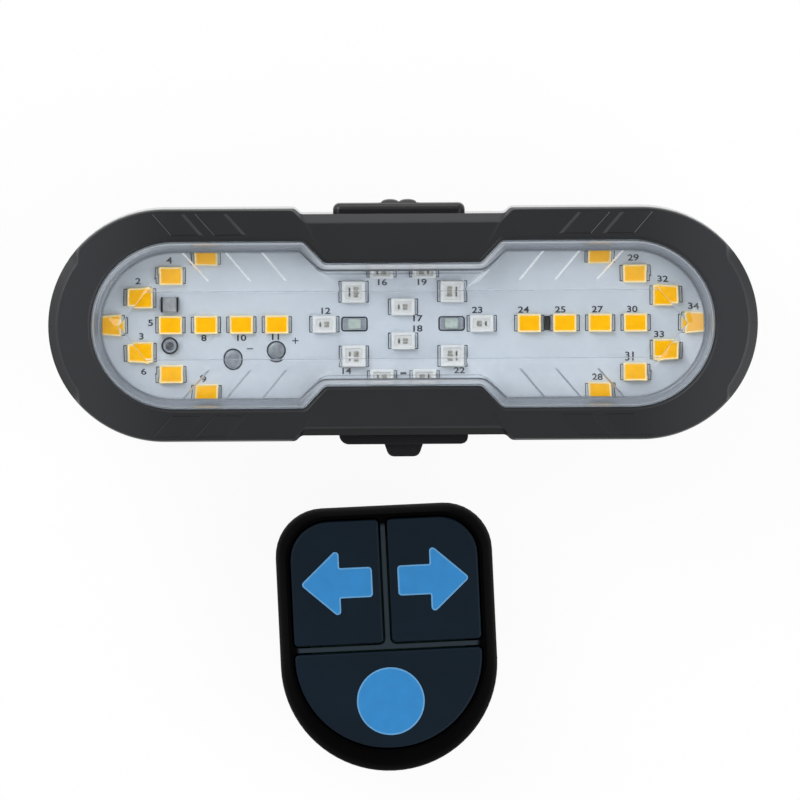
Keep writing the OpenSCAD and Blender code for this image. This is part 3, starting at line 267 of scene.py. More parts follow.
def colour(code):
    """A colour written in hexadecimal, as linear values."""
    shades = [int(code[i : i + 2], 16) / 255 for i in (1, 3, 5)]
    return tuple(s / 12.92 if s <= 0.04045 else ((s + 0.055) / 1.055) ** 2.4 for s in shades) + (1.0,)


def scaled(shade, factor):
    return tuple(min(1.0, value * factor) for value in shade[:3]) + (1.0,)


class Nodes:
    """The nodes of a material or of the world, with helpers that make and join them."""

    def __init__(self, owner):
        owner.use_nodes = True
        self.nodes = owner.node_tree.nodes
        self.links = owner.node_tree.links
        self.place = self.nodes.new("ShaderNodeTexCoord")

    def join(self, source, target):
        self.links.new(source, target)

    def sum(self, kind, operation):
        """A node for one operation on numbers or vectors."""
        made = self.nodes.new(kind)
        made.operation = operation
        return made

    def ramp(self, value, stops):
        """Shades read from a value, by a list of spots and shades."""
        made = self.nodes.new("ShaderNodeValToRGB")
        elements = made.color_ramp.elements
        while len(elements) < len(stops):
            elements.new(1.0)
        for element, (spot, shade) in zip(elements, stops):
            element.position = spot
            element.color = shade
        self.join(value, made.inputs["Fac"])
        return made.outputs["Color"]

    def spread(self, value, results, reach=(0.0, 1.0), kind="LINEAR"):
        """A value taken from its own range to that of the results."""
        made = self.nodes.new("ShaderNodeMapRange")
        made.interpolation_type = kind
        for name, number in zip(("From Min", "From Max", "To Min", "To Max"), (*reach, *results)):
            made.inputs[name].default_value = number
        self.join(value, made.inputs["Value"])
        return made.outputs["Result"]


class Paint(Nodes):
    """A material of one shader, with helpers for what varies it."""

    def __init__(self, name):
        self.material = bpy.data.materials.new(name)
        super().__init__(self.material)
        self.shader = self.nodes["Principled BSDF"]
        self.shades = None

    def set(self, socket, value):
        self.shader.inputs[socket].default_value = value

    def noise(self, scale, detail):
        made = self.nodes.new("ShaderNodeTexNoise")
        made.inputs["Scale"].default_value = scale
        made.inputs["Detail"].default_value = detail
        self.join(self.place.outputs["Object"], made.inputs["Vector"])
        return made.outputs["Fac"]

    def shade(self, value, low, high):
        """Varies the base colour from one shade to another."""
        self.shades = self.ramp(value, list(zip(RAMP_SPOTS, (low, high))))
        self.join(self.shades, self.shader.inputs["Base Color"])

    def gloss(self, value, rough, vary):
        """Varies the roughness by a share of it."""
        made = self.spread(value, (rough * (1 - vary), rough * (1 + vary)))
        self.join(made, self.shader.inputs["Roughness"])

    def relief(self, value, depth):
        made = self.nodes.new("ShaderNodeBump")
        made.inputs["Distance"].default_value = depth * MM
        self.join(value, made.inputs["Height"])
        self.join(made.outputs["Normal"], self.shader.inputs["Normal"])

    def blend_in(self, code, share):
        """Mixes a second colour into the shades of the surface."""
        made = self.nodes.new("ShaderNodeMix")
        made.data_type = "RGBA"
        self.join(share, made.inputs["Factor"])
        self.join(self.shades, made.inputs[MIX_FIRST])
        made.inputs[MIX_SECOND].default_value = colour(code)
        self.join(made.outputs[MIX_RESULT], self.shader.inputs["Base Color"])

    def give_way(self, other, share):
        """Shows another shader in place of the material's own."""
        made = self.nodes.new("ShaderNodeMixShader")
        self.join(share, made.inputs["Fac"])
        self.join(self.shader.outputs["BSDF"], made.inputs[1])
        self.join(other, made.inputs[2])
        self.join(made.outputs["Shader"], self.nodes["Material Output"].inputs["Surface"])


def surface(name, code, rough, patch, vary=0.12, grain=9000.0, depth=0.006, metal=0.0, level=0.5):
    """A moulded, cast or printed surface: patches of shade, uneven gloss and a fine grain."""
    paint = Paint(name)
    base = colour(code)
    patches = paint.noise(patch, PATCH_DETAIL)
    fine = paint.noise(grain, FINE_DETAIL)
    paint.shade(patches, scaled(base, 1 - vary), scaled(base, 1 + vary))
    paint.gloss(fine, rough, GLOSS_VARY)
    paint.relief(fine, depth)
    paint.set("Metallic", metal)
    paint.set("Specular IOR Level", level)
    return paint


def clear_plastic(name, tint, rough, grain=9000.0, depth=0.002, clear=1.0):
    """A clear or hazy moulding that lets lamps shine through it without a dark shadow."""
    paint = Paint(name)
    base = colour(tint)
    paint.set("Transmission Weight", clear)
    paint.set("IOR", CLEAR_IOR)
    fine = paint.noise(grain, FINE_DETAIL)
    paint.shade(fine, scaled(base, 1 - CLEAR_VARY), scaled(base, 1 + CLEAR_VARY))
    paint.gloss(fine, rough, CLEAR_GLOSS_VARY)
    paint.relief(fine, depth)
    rays = paint.nodes.new("ShaderNodeLightPath")
    open_way = paint.nodes.new("ShaderNodeBsdfTransparent")
    open_way.inputs["Color"].default_value = base
    paint.give_way(open_way.outputs["BSDF"], rays.outputs["Is Shadow Ray"])
    return paint


def fade_to(paint, code, near, far):
    """Blends a surface towards a second colour with the distance from the light's middle along X."""
    parts = paint.nodes.new("ShaderNodeSeparateXYZ")
    paint.join(paint.place.outputs["Object"], parts.inputs["Vector"])
    reach = paint.sum("ShaderNodeMath", "ABSOLUTE")
    paint.join(parts.outputs["X"], reach.inputs[0])
    share = paint.spread(reach.outputs["Value"], (0.0, 1.0), (near * MM, far * MM), "SMOOTHSTEP")
    paint.blend_in(code, share)


def within(paint, code, middle, size):
    """Gives a surface a second colour inside an upright ellipse about a spot."""
    spot = paint.place.outputs["Object"]
    for operation, value in (("SUBTRACT", middle), ("DIVIDE", size)):
        made = paint.sum("ShaderNodeVectorMath", operation)
        made.inputs[1].default_value = value
        paint.join(spot, made.inputs[0])
        spot = made.outputs["Vector"]
    reach = paint.sum("ShaderNodeVectorMath", "LENGTH")
    paint.join(spot, reach.inputs[0])
    paint.blend_in(code, paint.spread(reach.outputs["Value"], (1.0, 0.0), FIELD_FADE))


# Each surface has a name, a colour, a roughness and a count of patches, then what is its own.
# Patches and grain are counted to the metre, and the grain's depth is in millimetres
bezel_paint = surface("bezel_charcoal", "#141519", 0.44, 120.0)
# The round ends fade to a lighter shade, a painted sheen where they catch more light
fade_to(bezel_paint, "#27282c", 30.0, 46.0)
# The waist's bevel facet: a lighter copy of the bezel as a painted highlight, a little lighter towards the
# ends
facet_highlight_paint = surface("bezel_facet_highlight", "#191a1e", 0.42, 120.0)
fade_to(facet_highlight_paint, "#1b1c20", 22.0, 36.0)
# The lower half of that bevel: a darker copy as painted shade
under_shade_paint = surface("bezel_under_facet_shade", "#0a0b0d", 0.5, 120.0, level=0.3)
# Painted highlights along the slanted panels' edges: a bright crisp line and a faint soft one
crisp_highlight_paint = surface("bezel_crisp_edge_highlight", "#6b6c70", 0.4, 900.0, depth=0.004)
soft_highlight_paint = surface("bezel_soft_edge_highlight", "#313236", 0.44, 300.0)
case_paint = surface("case_gloss", "#2c2d31", 0.09, 150.0, grain=5000.0, depth=0.0006)
saddle_paint = surface("saddle_matt", "#26272a", 0.55, 200.0, grain=8000.0, depth=0.008, level=0.4)
pad_paint = surface("pad_rubber", "#17161a", 0.3, 400.0, grain=12000.0, level=0.45)
port_paint = surface("port_rubber", "#17161a", 0.4, 400.0, grain=12000.0, level=0.3)
nub_paint = surface("pad_gloss", "#101014", 0.17, 400.0, depth=0.002, level=0.6)
liner_paint = surface("liner_rubber", "#141416", 0.7, 500.0, grain=6000.0, depth=0.015, level=0.3)
seal_paint = surface("seal_rubber", "#1b1b1d", 0.65, 700.0, level=0.3)
lens_paint = clear_plastic("lens_clear", "#fbfdff", 0.015, grain=1500.0, depth=0.0004)
rim_paint = clear_plastic("lens_rim", "#ccd1d7", 0.22, clear=0.55)
fade_to(rim_paint, "#8f969f", 9.0, 15.0)
# A painted highlight line along the rim's outer edge, and a painted shade line at its foot
rim_edge_highlight_paint = clear_plastic("lens_rim_edge_highlight", "#adb3ba", 0.2, clear=0.3)
rim_foot_shade_paint = clear_plastic("lens_rim_foot_shade", "#767d86", 0.3, clear=0.5)
glint_paint = clear_plastic("lens_glint", "#eef2f6", 0.3, clear=0.5)
shade_paint = clear_plastic("lens_shade", "#8b939d", 0.3, clear=0.6)
# A painted shade line along the crown's edge
crown_shade_paint = clear_plastic("lens_crown_edge_shade", "#c3cad3", 0.2, clear=0.7)
board_paint = surface("board_mask", "#c1c9d2", 0.35, 140.0, vary=0.04, grain=6000.0, depth=0.002)
ink_paint = surface("board_ink", "#2b3039", 0.6, 3000.0, vary=0.2, grain=15000.0, depth=0.003)
amber_paint = surface("amber_phosphor", "#ffb600", 0.7, 900.0, vary=0.06, grain=14000.0, level=0.08)
package_paint = surface("lamp_package", "#f6dfa4", 0.4, 1200.0, vary=0.04, depth=0.003)
cream_paint = surface("brake_package", "#d7d9d9", 0.4, 1200.0, vary=0.03, depth=0.003)
well_paint = surface("brake_well", "#cccece", 0.3, 1500.0, vary=0.05, depth=0.002)
die_paint = surface("lamp_die", "#9c9a91", 0.3, 4000.0, vary=0.25, grain=15000.0, depth=0.002)
status_paint = surface("status_chip", "#aebab4", 0.25, 1500.0, vary=0.1, depth=0.002)
tin_paint = surface("tin_terminal", "#9ba2ab", 0.32, 2500.0, depth=0.004, metal=0.3)
solder_paint = surface("solder_joint", "#8f959c", 0.36, 1800.0, vary=0.18, grain=7000.0, metal=0.35)
chip_paint = surface("chip_epoxy", "#1c1c1e", 0.55, 900.0, vary=0.15, grain=12000.0)
coil_paint = surface("coil_side", "#6a6d72", 0.5, 1500.0, vary=0.15)
ferrite_paint = surface("ferrite_block", "#94979a", 0.6, 1600.0, vary=0.15, grain=8000.0, depth=0.012)
oxide_paint = surface("screw_oxide", "#25272b", 0.4, 1500.0, vary=0.15, depth=0.004)
steel_paint = surface("screw_steel", "#9ea1a5", 0.3, 1500.0, vary=0.1, depth=0.004, metal=1.0)
green_paint = surface("green_mask", "#1d5a38", 0.4, 500.0, vary=0.15, grain=6000.0, depth=0.004)
foil_paint = surface("cell_foil", "#b4b8bd", 0.34, 260.0, vary=0.08, grain=2500.0, depth=0.012, metal=0.85)
tape_paint = surface("foam_pad", "#e4e2da", 0.85, 900.0, vary=0.08, grain=4000.0, depth=0.04)
red_paint = surface("red_sheath", "#b3261e", 0.42, 900.0, vary=0.1, grain=7000.0)
black_paint = surface("black_sheath", "#1d1d1f", 0.42, 900.0, vary=0.15, grain=7000.0)
copper_paint = surface("antenna_copper", "#b87a4b", 0.3, 1500.0, grain=6000.0, depth=0.004, metal=1.0)
ivory_paint = surface("ivory_plunger", "#ddd8ca", 0.45, 1200.0, vary=0.05, depth=0.004)
brass_paint = surface("spring_brass", "#c2a465", 0.3, 900.0, grain=5000.0, depth=0.004, metal=1.0)
shell_paint = surface("remote_shell", "#050506", 0.5, 160.0, vary=0.15, depth=0.005, level=0.005)
cover_paint = surface("remote_cover", "#050506", 0.5, 160.0, vary=0.15, depth=0.005, level=0.005)
# The field between the keys is painted lighter than the black sides: partly the face's own tone, partly
# painted light
within(cover_paint, "#2d353c", REMOTE_FIELD, REMOTE_FIELD_SIZE)
key_paint = surface("remote_key", "#071723", 0.5, 160.0, vary=0.1, grain=10000.0, level=0.14)
blue_paint = surface("symbol_blue", "#2d7fbd", 0.45, 500.0, vary=0.05, depth=0.004, level=0.3)
blue_edge_paint = surface("symbol_edge", "#5c99c8", 0.45, 900.0, vary=0.06, depth=0.004)


# CAD nodes that keep their shape: rounded edges, smooth curves and a material of their own

WELD_REACH = 0.002
FLAT_ANGLE = math.radians(0.6)
EASE_STEPS = 3
# Material, width of the eased edges, and the nodes that have both
DRESSED = [
    (case_paint, 0.12, ["rear_case"]),
    (seal_paint, 0.04, ["case_seal", "remote_seal"]),
    (seal_paint, 0.05, ["lens_seal"]),
    (board_paint, 0.05, ["lamp_board"]),
    (chip_paint, 0.05, ["chip_resistors", "control_chip", "charge_port_tongue", "remote_chip"]),
    (chip_paint, 0.06, ["power_switch"]),
    (green_paint, 0.05, ["receiver_module"]),
    (green_paint, 0.04, ["remote_board"]),
    (copper_paint, 0.05, ["receiver_antenna"]),
    (steel_paint, 0.05, ["charge_port_shell", "remote_switches"]),
    (steel_paint, 0.06, ["remote_screws"]),
    (steel_paint, 0.08, ["case_screws"]),
    (steel_paint, 0.12, ["coin_cell"]),
    (ivory_paint, 0.06, ["switch_plunger", "left_plunger", "right_plunger", "mode_plunger"]),
    (foil_paint, 0.3, ["battery_cell"]),
    (tape_paint, 0.05, ["battery_tape"]),
    (red_paint, 0.04, ["positive_lead"]),
    (black_paint, 0.04, ["negative_lead"]),
    (port_paint, 0.4, ["port_cover"]),
    (saddle_paint, 0.25, ["seatpost_saddle"]),
    (saddle_paint, 0.22, ["handlebar_saddle"]),
    (liner_paint, 0.1, ["seatpost_liner", "handlebar_liner"]),
    (shell_paint, 0.1, ["remote_case"]),
    (cover_paint, 0.08, ["remote_cover"]),
    (brass_paint, 0.03, ["upper_cell_contact", "lower_cell_contact"]),
    (key_paint, 0.06, ["left_key", "right_key", "mode_key"]),
]


def dress(node, paint, edge):
    """Gives a CAD node its material, with its tessellation smoothed and its edges eased."""
    made = frame["nodes"][node]
    mesh = made.data
    mesh.materials.clear()
    mesh.materials.append(paint.material)
    if "custom_normal" in mesh.attributes:
        mesh.attributes.remove(mesh.attributes["custom_normal"])
    mesh.shade_smooth()
    weld = made.modifiers.new("weld", "WELD")
    weld.merge_threshold = WELD_REACH * MM
    flat = made.modifiers.new("flat_faces", "DECIMATE")
    flat.decimate_type = "DISSOLVE"
    flat.angle_limit = FLAT_ANGLE
    ease = made.modifiers.new("eased_edges", "BEVEL")
    ease.width = edge * MM
    ease.segments = EASE_STEPS
    ease.limit_method = "ANGLE"
    ease.angle_limit = SHARP_ANGLE
    normals = made.modifiers.new("even_normals", "WEIGHTED_NORMAL")
    normals.keep_sharp = True


for paint, edge, nodes in DRESSED:
    for node in nodes:
        dress(node, paint, edge)


# The bezel: its outer wall, bevelled waist, crescents, step and slanted panels

# Width, height, length of the flat waist, height at the waist, and run of the slope beside it
WALL_SIZE = (100.0, 32.8, 28.8, 31.2, 0.8)
BEZEL_FACE_SIZE = (99.4, 32.2, 27.45, 28.5, 1.85)
WINDOW_SIZE = (88.0, 23.6, 22.1, 17.4, 2.914)
LENS_LAP = 1.5
LENS_GAP = 0.15
wall_line = waisted(*WALL_SIZE)
face_line = waisted(*BEZEL_FACE_SIZE)
window_line = waisted(*WINDOW_SIZE)
flange_line = inset(window_line, -LENS_LAP)
lens_line = inset(window_line, LENS_GAP)

# Middle of the bezel's round ends
END_X = 33.6
SEAM_EASE = 0.1
BEVEL_H = 1.1
BEVEL_SHARE = 0.727
EDGE_W = 0.3
# Section of the face's rounded edge: shares of its run and of its rise
EDGE_SECTION = [(0.45, 0.75), (0.8, 0.94)]
CRESCENT_W = 1.4
CRESCENT_ANGLE = 42.0
CRESCENT_FADE = 5.0
STEP_W = 0.4
STEP_H = 0.12
STEP_EASE = 0.08
# Materials of the bezel, and the band of its rings that is the bevel
# Crisp and soft mark painted highlights along the panels' edges
# Facet marks a painted highlight on the bevel, and under painted shade on its lower half
FACE, CRISP_HIGHLIGHT, SOFT, WALL, FACET_HIGHLIGHT, UNDER_SHADE = range(6)
FACET_BAND = 2
# Slanted panels: the crisp edge's ends, for one quarter of the bezel
PANEL_EDGES = [((35.2, 15.75), (32.5, 12.65)), ((29.2, 15.75), (26.4, 12.65))]
# Section of a panel across its slant: distance from the crisp edge, and height
PANEL_SECTION = [(0.16, -0.05), (0.0, 0.15), (-3.9, 0.07), (-4.6, -0.02)]
# Panels in the upper quadrants take brighter painted highlights than those in the lower ones
UPPER_MARKS = [CRISP_HIGHLIGHT, FACE, SOFT]
LOWER_MARKS = [SOFT, FACE, FACE]
PANEL_END = 0.15
PANEL_SINK = 0.1


def crescent(points, depth):
    """Points of a round end drawn in by the crescent chamfer, which fades out at its two tips."""
    moved = []
    for x, y in points:
        side = math.copysign(1.0, x)
        arm = Vector((x - side * END_X, y))
        angle = abs(math.degrees(math.atan2(y, abs(arm.x))))
        share = 0.0
        if abs(x) > END_X:
            share = max(0.0, min(1.0, (CRESCENT_ANGLE - angle) / CRESCENT_FADE))
        moved.append(tuple(Vector((x, y)) - arm.normalized() * depth * share))
    return moved


def bevel_line():
    """The outline part of the way up the bevel, which leaves the round ends as they are."""
    return [
        wall if wall[3] == LARGE_STEPS else mixed([wall], [face], BEVEL_SHARE)[0]
        for wall, face in zip(wall_line, face_line)
    ]


def bezel_rings():
    """The bezel's section: up the wall, over the face and down inside to the seam."""
    recess = inset(flange_line, -LENS_GAP)
    low_ring = crescent(rounded(bevel_line()), BEVEL_SHARE * CRESCENT_W)
    high_ring = crescent(rounded(face_line), CRESCENT_W - EDGE_W)
    rings = [
        at_z(rounded(inset(wall_line, SEAM_EASE)), SEAM_Z),
        at_z(rounded(wall_line), SEAM_Z + SEAM_EASE),
        at_z(rounded(wall_line), FACE_Z - BEVEL_H),
        at_z(low_ring, FACE_Z - EDGE_W),
    ]
    for across, up in EDGE_SECTION:
        points = [
            (a[0] + (b[0] - a[0]) * across, a[1] + (b[1] - a[1]) * across)
            for a, b in zip(low_ring, high_ring)
        ]
        rings.append(at_z(points, FACE_Z - EDGE_W * (1 - up)))
    rings += [
        at_z(high_ring, FACE_Z),
        at_z(rounded(inset(window_line, -STEP_W - STEP_EASE)), FACE_Z),
        at_z(rounded(inset(window_line, -STEP_W)), FACE_Z - STEP_H / 2),
        at_z(rounded(inset(window_line, -STEP_W / 2)), FACE_Z - STEP_H),
        at_z(rounded(window_line), FACE_Z - STEP_H),
        at_z(rounded(window_line), LEDGE_Z),
        at_z(rounded(recess), LEDGE_Z),
        at_z(rounded(recess), SEAM_Z),
    ]
    return rings


def panel_rings(side_x, side_y, far, near):
    """A slanted panel in one quarter of the bezel, with its foot sunk into the face."""
    slope = (far[0] - near[0]) / (far[1] - near[1])
    rings = []
    for reach, height in PANEL_SECTION:
        pull = PANEL_END if height > 0 else 0.0
        far_x = side_x * (far[0] + reach - slope * pull)
        near_x = side_x * (near[0] + reach + slope * pull)
        rings.append(
            [
                (far_x, side_y * (far[1] - pull), FACE_Z + height),
                (near_x, side_y * (near[1] + pull), FACE_Z + height),
                (near_x, side_y * near[1], FACE_Z - PANEL_SINK),
                (far_x, side_y * far[1], FACE_Z - PANEL_SINK),
            ]
        )
    return rings


def make_bezel():
    rings = bezel_rings()
    # The bevel band carries the painted highlight
    outer_marks = [WALL, WALL, FACET_HIGHLIGHT]
    shape = Shape()
    shape.loft(rings, marks=outer_marks + [FACE] * (len(rings) - len(outer_marks)), around=True)
    outline = rounded(wall_line)
    # Along the waist, the lower half of the bevel takes the painted shade
    for i, (x, y) in enumerate(outline):
        if y < 0 and abs(x) < END_X:
            shape.marks[FACET_BAND * len(outline) + i] = UNDER_SHADE
    for side_x in BOTH_SIDES:
        for side_y in BOTH_SIDES:
            # Upper panels take the brighter painted highlights
            marks = UPPER_MARKS if side_y > 0 else LOWER_MARKS
            for far, near in PANEL_EDGES:
                shape.loft(panel_rings(side_x, side_y, far, near), marks=marks)
    paints = [bezel_paint, crisp_highlight_paint, soft_highlight_paint, case_paint, facet_highlight_paint, under_shade_paint]
    piece("bezel_face", shape, paints, ["front_bezel"])


make_bezel()


# The lens: raised rim, sloped sides with slanted ridges, and a flat crown with pointed ends

# Middle of the window's round ends
WINDOW_END_X = 32.2
LENS_T = 1.6
RIM_W = 1.4
RIM_PROUD = 0.7
# The rim is narrower along the waist, up to this distance from the middle
WAIST_RIM_W = 1.0
WAIST_RIM_X = 12.0
# Section of the rim: shares of its width and of its height
RIM_SECTION = [(0.0, 0.0), (0.05, 0.4), (0.16, 0.72), (0.32, 0.9)]
RIM_SECTION += [(0.5, 0.99), (0.64, 1.0), (0.76, 0.9), (0.88, 0.7)]
RIM_FOOT_SHARE = 0.5
SLOPE_SHARES = [0.0, 0.3, 0.55, 0.72, 0.8, 0.97, 1.0]
CROWN_X = 40.0
CROWN_TAPER = 3.8
CROWN_B = 9.4
# Where the ridges meet the rim; points of the rim and where their lines reach the crown
RIDGES = [19.6, 24.7, 30.8]
SHEAR_RIM = [0.0, 10.4, 13.6, 19.6, 24.7, 30.8, 31.16, 32.2]
SHEAR_CROWN = [0.0, 8.2, 9.4, 15.0, 20.0, 25.8, 26.16, 36.2]
RIDGE_W = 2.6
RIDGE_H = 0.18
RIDGE_DROP = 0.36
RIDGE_FADE = (0.72, 0.8)
RIDGE_BANDS = 3
RIDGE_ENDS = [line - RIDGE_W for line in RIDGES] + [line + RIDGE_DROP for line in RIDGES]
LENS_STOPS = sorted(RIDGES + RIDGE_ENDS + [15.4, 32.0])
# Materials of the lens: clear body, rim, its outer edge and its foot, ridge sides and crown edge
CLEAR, RIM, RIM_EDGE_HIGHLIGHT, RIM_FOOT_SHADE, GLINT, SHADE, CROWN = range(7)
# The rim's outer edge takes the painted highlight line and its foot the painted shade line
RIM_MARKS = [RIM_EDGE_HIGHLIGHT] * 2 + [RIM] * 4 + [RIM_FOOT_SHADE] * 2


def between(value, spots, results):
    """Straight-line reading of a table."""
    for i in range(len(spots) - 1):
        if value <= spots[i + 1]:
            share = (value - spots[i]) / (spots[i + 1] - spots[i])
            return results[i] + (results[i + 1] - results[i]) * share
    return results[-1]


def crown_spot(point):
    """The point of the crown's edge that a point of the lens outline slopes up to."""
    x, y = point
    side_x = math.copysign(1.0, x)
    side_y = math.copysign(1.0, y)
    along = abs(x) - WINDOW_END_X
    if along > 0:
        t = math.degrees(math.atan2(abs(y), along)) / 90
        return side_x * (CROWN_X - CROWN_TAPER * t), side_y * CROWN_B / 2 * t
    return side_x * between(abs(x), SHEAR_RIM, SHEAR_CROWN), side_y * CROWN_B / 2


def ridge_lift(point, share):
    """How far a point of the lens slope stands up, as part of a slanted ridge."""
    fade = max(0.0, min(1.0, (RIDGE_FADE[1] - share) / (RIDGE_FADE[1] - RIDGE_FADE[0])))
    reach = abs(point[0])
    if reach > WINDOW_END_X:
        return 0.0
    for line in RIDGES:
        if line - RIDGE_W <= reach <= line:
            return RIDGE_H * fade * (reach - line + RIDGE_W) / RIDGE_W
        if line < reach <= line + RIDGE_DROP:
            return RIDGE_H * fade * (line + RIDGE_DROP - reach) / RIDGE_DROP
    return 0.0


def make_lens():
    rim_line = [
        waist if abs(plain[0]) < WAIST_RIM_X else plain
        for plain, waist in zip(inset(lens_line, RIM_W), inset(lens_line, WAIST_RIM_W))
    ]
    rim_out = rounded(lens_line, LENS_STOPS)
    rim_in = rounded(rim_line, LENS_STOPS)
    cavity = rounded(inset(lens_line, LENS_T), LENS_STOPS)
    flange = rounded(flange_line, LENS_STOPS)
    rings = [
        at_z(cavity, ROOF_Z),
        at_z(cavity, FLANGE_Z),
        at_z(flange, FLANGE_Z),
        at_z(flange, LEDGE_Z),
        at_z(rim_out, LEDGE_Z),
    ]
    marks = [CLEAR] * len(rings) + RIM_MARKS
    for across, up in RIM_SECTION:
        line = rounded(mixed(lens_line, rim_line, across), LENS_STOPS)
        rings.append(at_z(line, FACE_Z + up * RIM_PROUD))
    slope_band = len(rings)
    foot_z = FACE_Z + RIM_FOOT_SHARE * RIM_PROUD
    for share in SLOPE_SHARES:
        ring = []
        for outer, inner in zip(rim_out, rim_in):
            crown = crown_spot(outer)
            x = inner[0] + (crown[0] - inner[0]) * share
            y = inner[1] + (crown[1] - inner[1]) * share
            ring.append((x, y, foot_z + (CROWN_Z - foot_z) * share + ridge_lift(outer, share)))
        rings.append(ring)
    # The band at the crown's edge takes the painted shade line
    marks += [CLEAR] * (len(SLOPE_SHARES) - 2) + [CROWN]
    shape = Shape()
    shape.loft(rings, marks=marks)
    count = len(rim_out)
    for i, (x, y) in enumerate(rim_out):
        middle = abs(x + rim_out[(i + 1) % count][0]) / 2
        if any(line < middle < line + RIDGE_DROP for line in RIDGES):
            for band in range(slope_band, slope_band + RIDGE_BANDS):
                shape.marks[band * count + i] = GLINT if y > 0 else SHADE
    paints = [lens_paint, rim_paint, rim_edge_highlight_paint, rim_foot_shade_paint, glint_paint, shade_paint, crown_shade_paint]
    piece("lens_moulding", shape, paints, ["clear_lens"])


make_lens()


# The power button: a cap with two oval nubs, on a flange behind the wall, in a soft pad

BUTTON_SPOT = (-0.5, 19.5)
BUTTON_SIZE = (5.2, 3.6)
FLANGE_SIZE = (6.8, 4.4)
FLANGE_Y = 13.05
FLANGE_T = 0.7
FLANGE_EDGE = 0.1
CAP_Y = 17.2
CAP_ROUND = 0.5
CAP_EDGE = 0.2
NUB_Y = 17.55
NUB_SINK = 0.1
NUB_R = 1.22
NUB_PITCH = 2.48
NUB_ROWS = 8
PAD_SIZE = (18.6, 6.4)
PAD_FOOT = 15.6
PAD_TOP = 17.0
PAD_SOFT = 0.9
PAD_GAP = 0.25
PAD_ROWS = 8


def in_wall(point):
    """A point given along the wall, down it and out of it, as a point of the frame."""
    return on_light((BUTTON_SPOT[0] + point[0], point[2], BUTTON_SPOT[1] - point[1]))


def make_button():
    shape = Shape()
    shape.block(0.0, 0.0, FLANGE_Y, *FLANGE_SIZE, FLANGE_T, edge=FLANGE_EDGE)
    shape.block(0.0, 0.0, FLANGE_Y, *BUTTON_SIZE, CAP_Y - FLANGE_Y, rounding=CAP_ROUND, edge=CAP_EDGE)
    foot = CAP_Y - NUB_SINK
    for side in BOTH_SIDES:
        shape.dome(side * NUB_PITCH / 2, 0.0, foot, NUB_R, NUB_Y - foot, rows=NUB_ROWS, mark=1)
    paints = [pad_paint, nub_paint]
    piece("button_cap", shape, paints, ["power_button"], "power_button", in_wall)


def make_pad():
    pad_line = box_corners(*PAD_SIZE, PAD_SOFT + LEAST_ROUND)
    hole_size = [length + 2 * PAD_GAP for length in BUTTON_SIZE]
    hole = rounded(box_corners(*hole_size, LEAST_ROUND))
    rings = [at_z(hole, PAD_FOOT), at_z(rounded(pad_line), PAD_FOOT)]
    for row in range(PAD_ROWS + 1):
        turn = math.pi / 2 * row / PAD_ROWS
        line = rounded(inset(pad_line, PAD_SOFT * (1 - math.cos(turn))))
        rings.append(at_z(line, PAD_TOP - PAD_SOFT * (1 - math.sin(turn))))
    rings.append(at_z(hole, PAD_TOP))
    shape = Shape()
    shape.loft(rings, around=True)
    piece("button_pad", shape, [pad_paint], ["button_surround"], place=in_wall)


make_button()
make_pad()


# Lamps on the board

LAMP_L = 3.3
LAMP_B = 2.6
LAMP_H = 0.8
LAMP_LIFT = 0.05
LAMP_ROUND = 0.2
LAMP_EDGE = 0.07
WELL_LIP = 0.04
WELL_SLOPE = 0.1
# Rings of a well's fill: distance in from the well's floor, and share of the fill's rise
FILL_RINGS = [(0.3, 0.7), (0.7, 1.0)]
# Breadth, border round the well, depth of the well, and rise of its fill
AMBER_LAMP = (LAMP_B, 0.17, 0.08, 0.04)
BRAKE_LAMP = (2.4, 0.4, 0.16, 0.0)
FOOT_H = 0.2
FOOT_OUT = 0.15
FOOT_IN = 0.25
FOOT_EDGE = 0.04
# Materials of a lamp
PACKAGE, FILL, FOOT, DIE = range(4)
# Dies in the well of a brake lamp: place towards the middle and up, and size
DIES = [(0.32, 0.2, 0.72, 0.4), (0.32, -0.24, 0.72, 0.34), (-0.58, 0.0, 0.26, 0.72)]
DIE_SINK = 0.18
DIE_T = 0.1
DIE_EDGE = 0.03

# Lamps of an arrow: those on its middle line, then the pairs in its head
ARROW_SPOTS = [(17.8, 0.0), (22.8, 0.0), (27.8, 0.0), (32.8, 0.0), (40.9, 0.0)]
HEAD_PAIRS = [(36.9, 3.65), (32.7, 6.6), (27.8, 9.25)]
for x, reach in HEAD_PAIRS:
    ARROW_SPOTS += [(x, -reach), (x, reach)]
# Brake lamps on the two middle lines, and those of one quarter
BRAKE_SPOTS = [(-11.1, 0.0), (11.1, 0.0), (0.0, -2.4), (0.0, 2.4)]
BRAKE_QUARTER = [(6.95, 4.2), (3.0, 7.0)]
for side_x in BOTH_SIDES:
    for side_y in BOTH_SIDES:
        BRAKE_SPOTS += [(side_x * x, side_y * y) for x, y in BRAKE_QUARTER]


